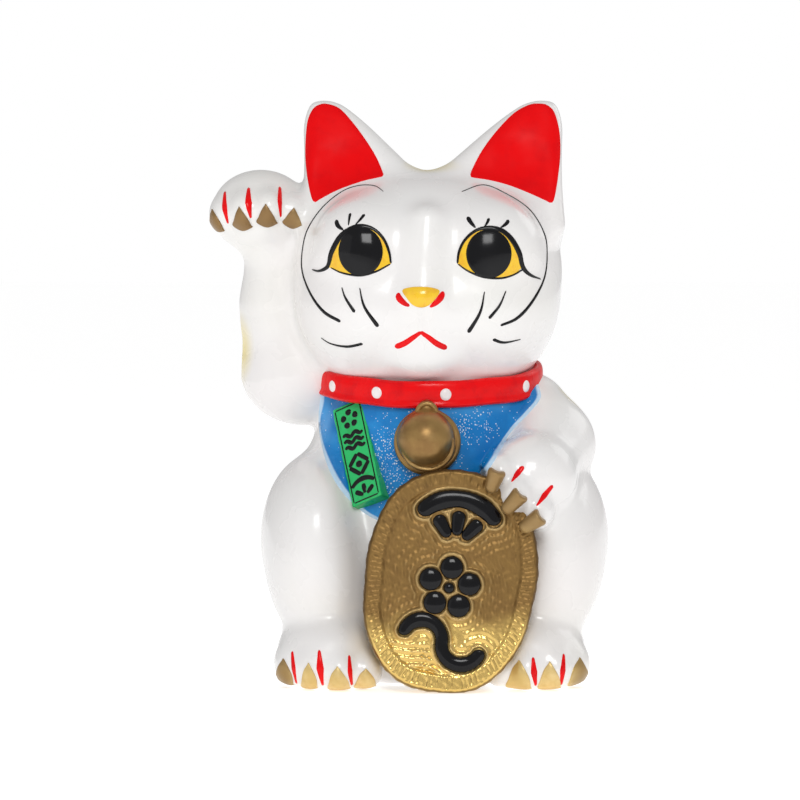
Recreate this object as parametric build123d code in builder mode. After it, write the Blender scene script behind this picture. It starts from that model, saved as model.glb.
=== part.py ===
"""Beckoning cat money bank in glazed earthenware, about 210 mm tall.

Frame: millimetres, +Z up, the cat looks along -Y, and +X is to the right of someone facing the cat.
The origin is the middle of the flat foot ring that the cat stands on. Left and right in the names are
the cat's own, so its raised right arm is on the -X side.

The torso and head are hollow slip-cast shells. Arms, tail, collar, bib, bell, coin, plaque and claws are
separate pieces luted on. A rubber plug closes the hole in the floor, and slides out downwards.
"""

import os
from math import asin, cos, degrees, radians, sin, sqrt

from build123d import *

# ---- driving dimensions ----
wall = 4.5  # slip-cast wall of torso and head
floor_thickness = 5.0  # the floor, above the recess
foot_ring_height = 3.5  # how far the foot ring stands below the floor
recess_radii = (38.0, 39.0)
hole_radius = 16.0  # the hole in the floor that the plug closes
torso_middle_y = 5.0
slot_length = 36.0  # the coin slot between the shoulders
slot_width = 5.4
slot_z = 90.0
overlap = 2.0  # how far a cutting form runs past the face that it opens
outside = 80.0  # from the middle plane to beyond the front or the back

# Torso sections from the floor to the neck: height, half width, half depth, and the middle's Y.
neck_z = 108.0  # the flat joint between torso and head
torso_sections = (
    (0.0, 47.0, 48.0, torso_middle_y),
    (14.0, 50.5, 52.0, 6.0),
    (38.0, 52.0, 53.0, 6.0),
    (62.0, 49.0, 48.0, 4.0),
    (84.0, 43.5, 41.0, 0.0),
    (neck_z, 35.5, 32.0, -4.0),
)

# The thigh and foot on the cat's left, mirrored for its right: centre and radii.
thigh = ((42.0, -16.0, 51.0), (19.3, 36.0, 31.0))
foot = ((36.5, -34.0, 8.0), (19.5, 26.0, 19.5))

head_middle = (-2.5, -5.0, 146.0)
cheek_radius = 48.3  # half the head's width
crown_height = 38.5  # from the head's middle to the crown
jaw_height = 48.5  # from the head's middle to where the jaw would close
head_depth_share = 0.86  # the head's half depth over its half width

# Ear sections on the cat's left: height, distance from the head's middle line, half width and half depth.
ear_sections = (
    (160.0, 27.0, 20.0, 14.0),
    (181.0, 31.5, 14.5, 9.5),
    (198.0, 36.5, 8.0, 5.5),
    (209.5, 39.5, 2.5, 2.0),
)
ear_y = -4.0

# The raised right arm, all on the -X side: centre and radii.
elbow = ((-46.0, 0.0, 113.0), (22.0, 19.0, 22.0))
raised_paw = ((-61.5, -8.0, 168.5), (17.5, 18.0, 14.5))
forearm_bottom = (-55.0, -1.0, 112.0)
forearm_top = (-56.0, -2.0, 157.0)
forearm_radius = 12.8

# The resting left arm: centre and radii.
upper_arm = ((37.0, -13.0, 88.0), (20.0, 25.0, 24.0))
resting_paw = ((35.0, -45.0, 76.0), (15.0, 15.0, 14.5))

collar_middle = (-1.5, -4.5, 108.5)
collar_radii = (41.5, 37.0)
collar_height = 9.5
collar_tilt = 5.0  # degrees, front edge down
collar_round = 2.4
stud_count = 9  # spaces round the collar; the arms leave room for seven dots
stud_phase = 0.6  # where the first dot is, as a share of one space past the front
stud_radius = 1.9
stud_root = 1.5  # how deep a dot is set
stud_height = 0.6

bib_middle = (-2.0, 98.0)  # X and Z of the round bib's middle
bib_radius = 41.0
bib_relief = 1.4  # how far the bib stands out of the torso

bell_middle = (-2.5, -45.0, 87.5)
bell_radius = 11.6
bell_rim = 1.2
loop_radius = 2.7
loop_wire = 1.2
loop_back = 2.4  # how far the loop stands behind the bell's middle

coin_middle = (5.7, -61.0, 40.3)  # on the coin's front face
coin_half = (30.2, 39.8)  # half width and half height
coin_corner = (25.0, 25.5)  # where its side and end curves meet
coin_corner_round = 12.0
coin_edge_round = 1.6
coin_thickness = 12.0
coin_lean = 7.0  # degrees back
coin_turn = 8.0  # degrees clockwise
coin_rim = 5.5
corner_share = 0.8  # how much of the rim's width the corners move in
coin_field_depth = 1.0  # the field inside the rim is this much lower

# The coin's emblem, with places across and up the coin's face.
emblem_height = 1.5
fan_pivot = (0.0, 12.0)
fan_ribs = (52.0, 90.0, 128.0)  # degrees
rib_middle, rib_length, rib_width = 8.5, 9.5, 4.6
blossom_middle = (0.0, -2.5)
petal_count = 5
petal_distance, petal_radius = 7.2, 4.1
blossom_heart = 1.9  # radius of the blossom's middle dot
# Curved strokes: middle, radius, start and size in degrees, and width.
fan_arc = (fan_pivot, 17.0, 35.0, 110.0, 5.6)
wave_crest = ((-7.0, -21.8), 7.0, 4.0, 172.0, 4.4)
wave_trough = ((7.0, -21.8), 7.0, 184.0, 172.0, 4.4)

plaque_middle = (-27.5, -37.2, 83.0)
plaque_size = (12.5, 38.5)
plaque_facing = 33.0  # degrees round towards the cat's right
plaque_turn = 24.0  # degrees, top towards the cat's right
plaque_lean = 18.0  # degrees back
plaque_corner = 0.5
plaque_bedding = 6.5  # how deep the slab goes before the bib's curve trims its back

claw_radii = (3.4, 3.0, 4.3)
claw_spots = {
    "raised_paw_claws": (
        (-76.0, -16.0, 166.5),
        (-67.2, -23.3, 167.5),
        (-58.8, -24.3, 168.0),
        (-50.2, -20.8, 167.0),
    ),
    "right_foot_claws": (
        (-51.8, -50.0, 6.0),
        (-43.8, -57.5, 5.4),
        (-33.9, -59.3, 4.8),
        (-24.4, -53.5, 4.4),
    ),
    "left_foot_claws": ((30.5, -58.5, 5.6), (41.2, -58.6, 5.6), (51.5, -50.4, 6.2)),
}
resting_claw_spots = ((22.0, -57.8, 75.4), (29.5, -59.0, 67.6), (35.8, -59.2, 62.0))
claw_bedding = 0.05  # a resting claw's gap to the coin's face

tail_radius = 7.0
tail_arc = ((16.0, 52.0, 9.0), (0.0, 58.0, 14.0), (-9.0, 53.0, 36.0))

plug_gap = 0.06  # the plug's radial clearance in its hole
plug_play = 0.3  # between the plug's flange and the recess above it
flange_radius = 19.0
flange_thickness = 2.0
spigot_length = 7.0
spigot_chamfer = 1.0
dish_radius = 11.0
dish_depth = 6.0
pull_bar = 4.0  # width and height of the bar across the dish

os.makedirs("parts", exist_ok=True)


def ellipsoid(centre, radii):
    """A solid ellipsoid."""
    with BuildPart() as form:
        Sphere(1)
        scale(by=radii)
    return form.part.moved(Location(centre))


def claw_drop(centre):
    """A claw: a drop that is longer than it is wide, with its poles facing front and back."""
    with BuildPart() as form:
        with Locations(Location((0, 0, 0), (90, 0, 0))):
            Sphere(1)
        scale(by=claw_radii)
    return form.part.moved(Location(centre))


def mirrored(form, side):
    """A limb's centre and radii on one side: 1 for the cat's left and -1 for its right."""
    (x, y, z), radii = form
    return (side * x, y, z), radii


def shrunk(form, amount):
    """A limb's centre and radii, with the surface drawn in by amount."""
    centre, radii = form
    return centre, tuple(r - amount for r in radii)


def torso_form(grow=0.0):
    """The torso without its limbs, grown or shrunk sideways by grow."""
    with BuildPart() as form:
        for z, half_width, half_depth, middle_y in torso_sections:
            with BuildSketch(Plane.XY.offset(z)):
                with Locations((0, middle_y)):
                    Ellipse(half_width + grow, half_depth + grow)
        loft()
    return form.part


def head_form(grow=0.0, below=0.0):
    """The head without its ears, down to below under the neck joint: turned, then narrowed front to back."""
    waist = cheek_radius + grow
    crown = crown_height + grow
    jaw = jaw_height + grow
    cut = neck_z - head_middle[2] - below
    jaw_angle = degrees(asin(cut / jaw))
    with BuildPart() as form:
        with BuildSketch(Plane.XZ):
            with BuildLine():
                EllipticalCenterArc((0, 0), waist, crown, start_angle=0, arc_size=90)
                Polyline((0, crown), (0, cut), (waist * cos(radians(jaw_angle)), cut))
                EllipticalCenterArc((0, 0), waist, jaw, start_angle=jaw_angle, arc_size=-jaw_angle)
            make_face()
        revolve(axis=Axis.Z)
        scale(by=(1, head_depth_share, 1))
    return form.part.moved(Location(head_middle))


def ear_form(side):
    """An ear, from inside the head to its tip: 1 for the cat's left and -1 for its right."""
    with BuildPart() as form:
        for z, out, half_width, half_depth in ear_sections:
            with BuildSketch(Plane.XY.offset(z)):
                with Locations((head_middle[0] + side * out, ear_y)):
                    Ellipse(half_width, half_depth)
        loft()
    return form.part


def coin_outline(inset=0.0):
    """The coin's oval face: four arcs, with the corners between them rounded."""
    half_width, half_height = (r - inset for r in coin_half)
    corner_x, corner_y = (c - inset * corner_share for c in coin_corner)
    with BuildSketch() as face:
        with BuildLine():
            ThreePointArc((corner_x, -corner_y), (half_width, 0), (corner_x, corner_y))
            ThreePointArc((corner_x, corner_y), (0, half_height), (-corner_x, corner_y))
            ThreePointArc((-corner_x, corner_y), (-half_width, 0), (-corner_x, -corner_y))
            ThreePointArc((-corner_x, -corner_y), (0, -half_height), (corner_x, -corner_y))
        make_face()
        fillet(face.vertices(), radius=coin_corner_round)
    return face.sketch


def export(form, label):
    """Labels a finished piece and writes its STEP file."""
    form.label = label
    export_step(form, f"parts/{label}.step")


# ---- outer forms that the pieces are cut against ----
torso = torso_form()
head = head_form()

with BuildPart() as body_form:
    add(torso)
    for side in (-1, 1):
        add(ellipsoid(*mirrored(thigh, side)))
        add(ellipsoid(*mirrored(foot, side)))
    split(bisect_by=Plane.XY, keep=Keep.TOP)

# ---- hollow torso with its thighs, feet and foot ring ----
cavity_floor = foot_ring_height + floor_thickness
cavity_top = neck_z - wall
with BuildPart() as cavity:
    add(torso_form(-wall))
    for side in (-1, 1):
        add(ellipsoid(*shrunk(mirrored(thigh, side), wall)))
        add(ellipsoid(*shrunk(mirrored(foot, side), wall)))
    split(bisect_by=Plane.XY.offset(cavity_floor), keep=Keep.TOP)
    split(bisect_by=Plane.XY.offset(cavity_top), keep=Keep.BOTTOM)

neck_share = sqrt(1 - ((neck_z - head_middle[2]) / (jaw_height - wall)) ** 2)
neck_half_width = (cheek_radius - wall) * neck_share
with BuildPart() as body_shell:
    add(body_form.part)
    add(cavity.part, mode=Mode.SUBTRACT)
    with BuildSketch(Plane.XY.offset(-overlap)):
        with Locations((0, torso_middle_y)):
            Ellipse(*recess_radii)
    extrude(amount=foot_ring_height + overlap, mode=Mode.SUBTRACT)
    with BuildSketch(Plane.XY):
        with Locations((0, torso_middle_y)):
            Circle(hole_radius)
    extrude(amount=cavity_floor + overlap, mode=Mode.SUBTRACT)
    with BuildSketch(Plane.XY.offset(cavity_top - overlap)):
        with Locations(head_middle[:2]):
            Ellipse(neck_half_width, neck_half_width * head_depth_share)
    extrude(amount=wall + 2 * overlap, mode=Mode.SUBTRACT)
    with BuildSketch(Plane.XZ):
        with Locations((0, slot_z)):
            SlotOverall(slot_length, slot_width)
    extrude(amount=-outside, mode=Mode.SUBTRACT)
export(body_shell.part, "body_shell")

# ---- hollow head with its ears ----
with BuildPart() as head_shell:
    add(head)
    for side in (-1, 1):
        add(ear_form(side))
    add(head_form(-wall, overlap), mode=Mode.SUBTRACT)
export(head_shell.part, "head_shell")

# ---- the raised arm, luted to the torso and head ----
forearm_line = Vector(forearm_top) - Vector(forearm_bottom)
with BuildPart() as forearm:
    with BuildSketch(Plane(forearm_bottom, z_dir=forearm_line)):
        Circle(forearm_radius)
    extrude(amount=forearm_line.length)
    with Locations(forearm_top):
        Sphere(forearm_radius)

with BuildPart() as raised_arm:
    add(forearm.part)
    add(ellipsoid(*elbow))
    add(ellipsoid(*raised_paw))
    add(body_form.part, mode=Mode.SUBTRACT)
    add(head, mode=Mode.SUBTRACT)
    add(ear_form(-1), mode=Mode.SUBTRACT)
export(raised_arm.part, "raised_arm")

# ---- the oval coin, leaning on the belly and standing on the ground ----
coin_plane = Plane(
    origin=coin_middle,
    x_dir=(cos(radians(coin_turn)), 0, -sin(radians(coin_turn))),
    z_dir=(0, -cos(radians(coin_lean)), sin(radians(coin_lean))),
)
coin_axis = Axis(coin_middle, coin_plane.z_dir)
with BuildPart() as coin_slab:
    with BuildSketch(coin_plane):
        add(coin_outline())
    extrude(amount=-coin_thickness)
    fillet(coin_slab.faces().sort_by(coin_axis)[-1].edges(), radius=coin_edge_round)
    with BuildSketch(coin_plane):
        add(coin_outline(coin_rim))
    extrude(amount=-coin_field_depth, mode=Mode.SUBTRACT)
    split(bisect_by=Plane.XY, keep=Keep.TOP)

with BuildPart() as coin:
    add(coin_slab.part)
    add(body_form.part, mode=Mode.SUBTRACT)
export(coin.part, "coin")

# The relief on the coin: a fan, a blossom and a wave.
with BuildPart() as coin_emblem:
    with BuildSketch(coin_plane.offset(-coin_field_depth)):
        for middle, radius, start, size, width in (fan_arc, wave_crest, wave_trough):
            with BuildLine(mode=Mode.PRIVATE) as stroke:
                CenterArc(middle, radius, start, size)
            SlotArc(stroke.edge(), width)
        for angle in fan_ribs:
            with Locations(Location(fan_pivot, angle)):
                with Locations((rib_middle, 0)):
                    SlotOverall(rib_length, rib_width)
        with Locations(blossom_middle):
            Circle(blossom_heart)
            with PolarLocations(petal_distance, petal_count, start_angle=90):
                Circle(petal_radius)
    extrude(amount=emblem_height)
export(coin_emblem.part, "coin_emblem")

# ---- the resting arm, its paw over the coin's edge ----
with BuildPart() as resting_arm:
    add(ellipsoid(*upper_arm))
    add(ellipsoid(*resting_paw))
    add(body_form.part, mode=Mode.SUBTRACT)
    add(head, mode=Mode.SUBTRACT)
    add(coin_slab.part, mode=Mode.SUBTRACT)
export(resting_arm.part, "resting_arm")

# ---- tail, curled against the back ----
with BuildPart() as tail:
    with BuildLine() as tail_path:
        ThreePointArc(*tail_arc)
    with BuildSketch(Plane(tail_path.line @ 0, z_dir=tail_path.line % 0)):
        Circle(tail_radius)
    sweep()
    with Locations(tail_path.line @ 0, tail_path.line @ 1):
        Sphere(tail_radius)
    add(body_form.part, mode=Mode.SUBTRACT)
export(tail.part, "tail")

# ---- collar, with raised dots round it ----
collar_plane = Plane(
    origin=collar_middle,
    x_dir=(1, 0, 0),
    z_dir=(0, -sin(radians(collar_tilt)), cos(radians(collar_tilt))),
)
with BuildPart() as collar_ring:
    with BuildSketch(collar_plane.offset(-collar_height / 2)):
        Ellipse(*collar_radii)
    extrude(amount=collar_height)
    fillet(collar_ring.edges(), radius=collar_round)

bore_half_width = neck_half_width + wall / 2
with BuildPart() as collar:
    add(collar_ring.part)
    with BuildSketch(Plane.XY.offset(neck_z - collar_height)):
        with Locations(head_middle[:2]):
            Ellipse(bore_half_width, bore_half_width * head_depth_share)
    extrude(amount=2 * collar_height, mode=Mode.SUBTRACT)
    for piece in (torso, head, raised_arm.part, resting_arm.part):
        add(piece, mode=Mode.SUBTRACT)
export(collar.part, "collar")

with BuildPart() as collar_studs:
    for number in range(stud_count):
        angle = radians(360 * (number + stud_phase) / stud_count - 90)
        spot = Vector(collar_radii[0] * cos(angle), collar_radii[1] * sin(angle))
        outward = Vector(cos(angle) / collar_radii[0], sin(angle) / collar_radii[1]).normalized()
        root = collar_plane.from_local_coords(spot - outward * stud_root)
        tip = collar_plane.from_local_coords(spot + outward * stud_height)
        with BuildSketch(Plane(root, z_dir=tip - root)):
            Circle(stud_radius)
        extrude(amount=stud_root + stud_height)
    for piece in (collar_ring, raised_arm, resting_arm):
        add(piece.part, mode=Mode.SUBTRACT)
export(collar_studs.part, "collar_studs")

# ---- bib, a thin relief on the chest ----
with BuildPart() as bib_layer:
    add(torso_form(bib_relief))
    with BuildSketch(Plane.XZ):
        with Locations(bib_middle):
            Circle(bib_radius)
    extrude(amount=outside, mode=Mode.INTERSECT)

with BuildPart() as bib:
    add(bib_layer.part)
    add(head, mode=Mode.SUBTRACT)
    for piece in (body_form, collar_ring, raised_arm, resting_arm, coin_slab):
        add(piece.part, mode=Mode.SUBTRACT)
export(bib.part, "bib")

# ---- bell under the collar, and the loop it hangs from ----
with BuildPart() as bell:
    with Locations(bell_middle):
        Sphere(bell_radius)
        Torus(bell_radius, bell_rim)
    for piece in (body_form, bib_layer, collar_ring, coin_slab):
        add(piece.part, mode=Mode.SUBTRACT)
export(bell.part, "bell")

loop_middle = Vector(bell_middle) + Vector(0, loop_back, bell_radius)
with BuildPart() as bell_loop:
    with Locations(Location(loop_middle, (90, 0, 0))):
        Torus(loop_radius, loop_wire)
    for piece in (body_form, bib_layer, collar_ring, bell):
        add(piece.part, mode=Mode.SUBTRACT)
export(bell_loop.part, "bell_loop")

# ---- green plaque on the bib ----
plaque_plane = Plane(
    origin=plaque_middle,
    x_dir=(cos(radians(plaque_facing)), -sin(radians(plaque_facing)), 0),
    z_dir=(-sin(radians(plaque_facing)), -cos(radians(plaque_facing)), sin(radians(plaque_lean))),
).rotated((0, 0, plaque_turn))
with BuildPart() as plaque:
    with BuildSketch(plaque_plane):
        RectangleRounded(*plaque_size, plaque_corner)
    extrude(amount=-plaque_bedding)
    for piece in (body_form, bib_layer, collar_ring, raised_arm):
        add(piece.part, mode=Mode.SUBTRACT)
export(plaque.part, "plaque")

# ---- claws, drops set on the toes of each paw and foot ----
for label, spots in claw_spots.items():
    drops = []
    for spot in spots:
        with BuildPart() as drop:
            add(claw_drop(spot))
            add(body_form.part, mode=Mode.SUBTRACT)
            add(raised_arm.part, mode=Mode.SUBTRACT)
            split(bisect_by=Plane.XY, keep=Keep.TOP)
        drops.append(drop.part)
    export(Compound(children=drops), label)

# The resting paw's claws lie on the coin's face.
drops = []
for spot in resting_claw_spots:
    with BuildPart() as drop:
        add(claw_drop(spot))
        add(resting_arm.part, mode=Mode.SUBTRACT)
        split(bisect_by=coin_plane.offset(claw_bedding), keep=Keep.TOP)
    drops.append(drop.part)
export(Compound(children=drops), "resting_paw_claws")

# ---- rubber plug in the floor, with a bar to pull it by ----
flange_top = foot_ring_height - plug_play
flange_bottom = flange_top - flange_thickness
with BuildPart() as base_plug:
    with BuildSketch(Plane.XY.offset(flange_bottom)):
        with Locations((0, torso_middle_y)):
            Circle(flange_radius)
    extrude(amount=flange_thickness)
    with BuildSketch(Plane.XY.offset(flange_top)):
        with Locations((0, torso_middle_y)):
            Circle(hole_radius - plug_gap)
    extrude(amount=spigot_length)
    chamfer(base_plug.faces().sort_by(Axis.Z)[-1].edges(), length=spigot_chamfer)
    with BuildSketch(Plane.XY.offset(flange_bottom)):
        with Locations((0, torso_middle_y)):
            Circle(dish_radius)
    extrude(amount=dish_depth, mode=Mode.SUBTRACT)
    with BuildSketch(Plane.XY.offset(flange_bottom)):
        with Locations((0, torso_middle_y)):
            Rectangle(2 * dish_radius + overlap, pull_bar)
    extrude(amount=pull_bar)
export(base_plug.part, "base_plug")
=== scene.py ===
"""The looks of the beckoning cat bank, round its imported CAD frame.

The white glazed body is one sculpted surface, cut into the cast pieces along their joins, so that the
glaze runs on over them. The painted marks are thin raised enamel laid on that surface. Lengths in the
sculpting code are millimetres in the frame's own axes; meshes are made in metres.
"""
import math

import bmesh
import bpy
import numpy as np
from mathutils import Matrix, Vector


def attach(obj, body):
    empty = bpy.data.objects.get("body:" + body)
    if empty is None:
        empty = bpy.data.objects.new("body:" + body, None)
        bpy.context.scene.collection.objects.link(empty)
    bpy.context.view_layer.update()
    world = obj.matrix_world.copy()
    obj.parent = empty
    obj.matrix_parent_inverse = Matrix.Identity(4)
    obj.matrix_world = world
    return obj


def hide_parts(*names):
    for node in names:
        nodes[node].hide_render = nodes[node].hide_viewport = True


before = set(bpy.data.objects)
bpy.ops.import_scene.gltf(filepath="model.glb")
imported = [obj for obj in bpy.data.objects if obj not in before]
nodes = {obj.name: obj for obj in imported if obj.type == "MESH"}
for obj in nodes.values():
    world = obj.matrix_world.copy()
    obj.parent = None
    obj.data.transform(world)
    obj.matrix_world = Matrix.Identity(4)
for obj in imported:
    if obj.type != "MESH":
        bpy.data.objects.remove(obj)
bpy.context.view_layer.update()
MM = 0.001


# ------------------------------------------------------------------ distance fields, in millimetres
def vec(*v):
    return np.array(v, float)


def length(v):
    return np.sqrt(np.einsum("ij,ij->i", v, v))


def ellipsoid(p, centre, radii, turn=None):
    q = p - vec(*centre)
    if turn is not None:
        q = q @ turn
    r = vec(*radii)
    k0 = length(q / r)
    k1 = length(q / (r * r))
    return k0 * (k0 - 1) / np.maximum(k1, 1e-9)


def limb(p, a, b, ra, rb):
    a, b = vec(*a), vec(*b)
    ba = b - a
    t = np.clip((p - a) @ ba / (ba @ ba), 0, 1)
    return length(p - a - t[:, None] * ba) - (ra + (rb - ra) * t)


def smin(a, b, k):
    h = np.maximum(k - np.abs(a - b), 0) / k
    return np.minimum(a, b) - h * h * k * 0.25


def smax(a, b, k):
    return -smin(-a, -b, k)


def turned(rx=0, ry=0, rz=0):
    m = Matrix.Rotation(math.radians(rz), 3, "Z") @ Matrix.Rotation(math.radians(ry), 3, "Y")
    m = m @ Matrix.Rotation(math.radians(rx), 3, "X")
    return np.array(m)


def smooth_table(zs, rows, count=400):
    """A smooth curve through the rows, sampled densely for np.interp."""
    zs = np.array(zs, float)
    rows = np.array(rows, float)
    slope = np.gradient(rows, zs, axis=0)
    z = np.linspace(zs[0], zs[-1], count)
    i = np.clip(np.searchsorted(zs, z) - 1, 0, len(zs) - 2)
    h = (zs[i + 1] - zs[i])[:, None]
    t = ((z - zs[i]) / (zs[i + 1] - zs[i]))[:, None]
    out = ((2 * t**3 - 3 * t**2 + 1) * rows[i] + (t**3 - 2 * t**2 + t) * h * slope[i]
           + (3 * t**2 - 2 * t**3) * rows[i + 1] + (t**3 - t**2) * h * slope[i + 1])
    return z, out


HEAD = (-2.5, -5.0, 146.0)
TORSO_TOP = 112.0
# Torso sections from the floor up: heights, then half width, half depth and the middle's Y.
TORSO_Z, TORSO = smooth_table(
    (0, 14, 38, 62, 84, 100, 112),
    ((47, 48, 5), (50.5, 52, 6), (52, 53, 6), (49, 48, 4), (43.5, 41, 0), (38, 35, -3), (34, 31, -4)))


def torso(p):
    z = np.clip(p[:, 2], 0, TORSO_TOP)
    w = np.interp(z, TORSO_Z, TORSO[:, 0])
    d = np.interp(z, TORSO_Z, TORSO[:, 1])
    cy = np.interp(z, TORSO_Z, TORSO[:, 2])
    x, y = p[:, 0], p[:, 1] - cy
    k0 = np.sqrt((x / w) ** 2 + (y / d) ** 2)
    k1 = np.sqrt((x / w**2) ** 2 + (y / d**2) ** 2)
    f = k0 * (k0 - 1) / np.maximum(k1, 1e-6)
    return smax(f, p[:, 2] - (TORSO_TOP + 2), 6)


def toes(p, f, spots, k=2.6):
    for x, y, z, r in spots:
        f = smin(f, ellipsoid(p, (x, y, z), (r * 0.86, r * 1.25, r)), k)
    return f


# Toes: the middle of each, and its half height.
RIGHT_TOES = ((-50.2, -44, 8.5, 7.5), (-42.6, -50.5, 7.8, 7.8), (-33.6, -53.0, 7.0, 8.0),
              (-24.6, -50.0, 6.6, 7.4))
LEFT_TOES = ((24.5, -50.5, 7.0, 7.4), (33.0, -52.8, 7.2, 8.0), (43.0, -50.8, 7.8, 8.0),
             (49.2, -45.0, 8.6, 7.2))


def body(p):
    f = torso(p)
    for side, toe_list in ((-1, RIGHT_TOES), (1, LEFT_TOES)):
        haunch = ellipsoid(p, (42.9 if side > 0 else -42, -16, 50.4), (19.5, 36, 31))
        shin = ellipsoid(p, (side * 39, -33, 34), (16.5, 17.5, 22))
        f = smin(f, smin(haunch, shin, 10), 8)
        paw = ellipsoid(p, (35.4 if side > 0 else -36.8, -35, 9.5), (19.1, 25, 18.5))
        f = smin(f, toes(p, paw, toe_list), 4)
    return smax(f, 0.25 - p[:, 2], 3.0)


def head(p):
    q = p - vec(*HEAD)
    up = q[:, 2] > 0
    r = np.stack([np.full(len(q), 48.3), np.full(len(q), 41.5), np.where(up, 37.4, 48.5)], 1)
    n = 2.3
    a = np.abs(q / r) + 1e-6
    s = (a**n).sum(1)
    k0 = s ** (1 / n)
    grad = length(a ** (n - 1) / r) * s ** (1 / n - 1)
    f = (k0 - 1) / np.maximum(grad, 1e-6)
    x0 = HEAD[0]
    for side in (-1, 1):
        f = smin(f, ellipsoid(p, (x0 + side * 20, -24, 134), (21, 23.5, 19)), 12)  # cheek
        f = smin(f, ellipsoid(p, (x0 + side * 23.5, -32.5, 157), (15, 13.5, 15)), 9)  # eyeball
        f = smin(f, ear(p, side), 5)
    f = smin(f, ellipsoid(p, (x0 - 1, -37, 131.5), (14, 12, 12.5)), 9)  # muzzle
    f = smin(f, ellipsoid(p, (x0 - 1, -38.5, 118), (11, 8, 7)), 7)  # chin
    f = smin(f, limb(p, (x0, -42, 166), (x0 - 1.5, -47, 140), 3.4, 3.2), 9)  # bridge of the nose
    f = smin(f, ellipsoid(p, (x0 - 1.5, -47.6, 138.6), (6.8, 4.0, 4.0)), 3)  # nose
    f = smax(f, -ellipsoid(p, (x0 - 1.5, -55.2, 128.5), (1.1, 5.2, 6.0)), 2.0)  # split lip
    return smax(f, 104.0 - p[:, 2], 3)


def ear(p, side):
    x, y, z = p[:, 0], p[:, 1], p[:, 2]
    if side < 0:
        outer = -45.8 - x + 0.014 * np.maximum(z - 196, 0) ** 2 - 0.0025 * (z - 188) ** 2
        inner = 0.707 * (x + 13.2) + 0.707 * (z - 190)
    else:
        outer = x - 45.6 + 0.014 * np.maximum(z - 196, 0) ** 2 - 0.0025 * (z - 186) ** 2
        inner = -0.66 * (x - 9.0) + 0.75 * (z - 189.2)
    front = -0.927 * (y + 13.0) + 0.375 * (z - 196)
    back = 0.927 * (y - 6.0) + 0.375 * (z - 190)
    f = smax(smax(outer, inner, 6), smax(front, back, 7), 6)
    f = smax(f, z - 210.3, 4)
    cx = -36.0 if side < 0 else 35.0
    hollow = ellipsoid(p, (cx - side * 3.0, -27.5, 185.5), (12.5, 11.5, 18), turned(rx=-22))
    return smax(smax(f, -hollow, 4), 158 - z, 8)


RAISED_TOES = ((-73.6, -13.0, 168.0, 6.8), (-66.8, -18.5, 169.5, 7.2), (-58.6, -20.0, 170.0, 7.2),
               (-50.6, -17.0, 169.0, 6.6))


def raised(p):
    f = limb(p, (-49.8, 0, 111.2), (-54.6, -2, 134), 18.6, 12.8)
    f = smin(f, limb(p, (-54.6, -2, 132), (-55.6, -4, 155), 12.0, 11.8), 8)
    f = smin(f, ellipsoid(p, (-42, 2, 112), (22, 18, 20)), 8)
    paw = ellipsoid(p, (-61.3, -7, 168.6), (17.4, 17.5, 15.2))
    paw = toes(p, paw, RAISED_TOES, 2.6)
    return smin(f, paw, 5)


RESTING_TOES = ((23.6, -51.0, 77.0, 6.6), (29.2, -53.5, 69.6, 7.2), (36.6, -52.0, 63.6, 7.0))


def resting(p):
    f = limb(p, (33, -6, 94.5), (39.8, -16, 84.5), 16.0, 16.2)
    f = smin(f, limb(p, (39.8, -17, 84.5), (36, -42, 74), 15.8, 13.5), 8)
    paw = ellipsoid(p, (33.5, -43, 74.5), (15.5, 14.0, 14.5))
    paw = toes(p, paw, RESTING_TOES, 2.6)
    return smin(f, paw, 5)


TAIL = ((16, 52, 9.5), (3, 57, 13), (-7, 57.5, 24), (-9, 53.5, 37))


def tail(p):
    f = np.full(len(p), 1e3)
    radii = (6.5, 7.2, 7.2, 5.2)
    for i in range(3):
        f = smin(f, limb(p, TAIL[i], TAIL[i + 1], radii[i], radii[i + 1]), 3)
    return smax(f, 0.25 - p[:, 2], 2)


PARTS = (body, head, raised, resting, tail)
MIDDLE_X = -2.5
WIDER_BEHIND, FRONT_DEPTH = 0.024, 50


def widened(p):
    """Where to read the parts, so that the whole form is WIDER_BEHIND wider behind its front."""
    q = p.copy()
    share = 1 + WIDER_BEHIND * np.clip((p[:, 1] + FRONT_DEPTH) / FRONT_DEPTH, 0, 1)
    q[:, 0] = MIDDLE_X + (p[:, 0] - MIDDLE_X) / share
    return q


def outer_form(p):
    """The whole glazed form from outside, its parts softly joined."""
    p = widened(p)
    f = body(p)
    for part, softness in ((head, 3), (raised, 4.5), (resting, 3.5), (tail, 3)):
        f = smin(f, part(p), softness)
    return f


WALL, FLOOR_TOP, HOLLOW_TOP = 4.5, 8.5, 100
FOOT_MIDDLE_Y, RECESS_RADII, RECESS_TOP, HOLE_RADIUS, HOLE_TOP = 5, (38, 39), 3.5, 16.0, 11
SLOT_LENGTH, SLOT_WIDTH, SLOT_Z = 36.0, 5.4, 90


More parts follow.
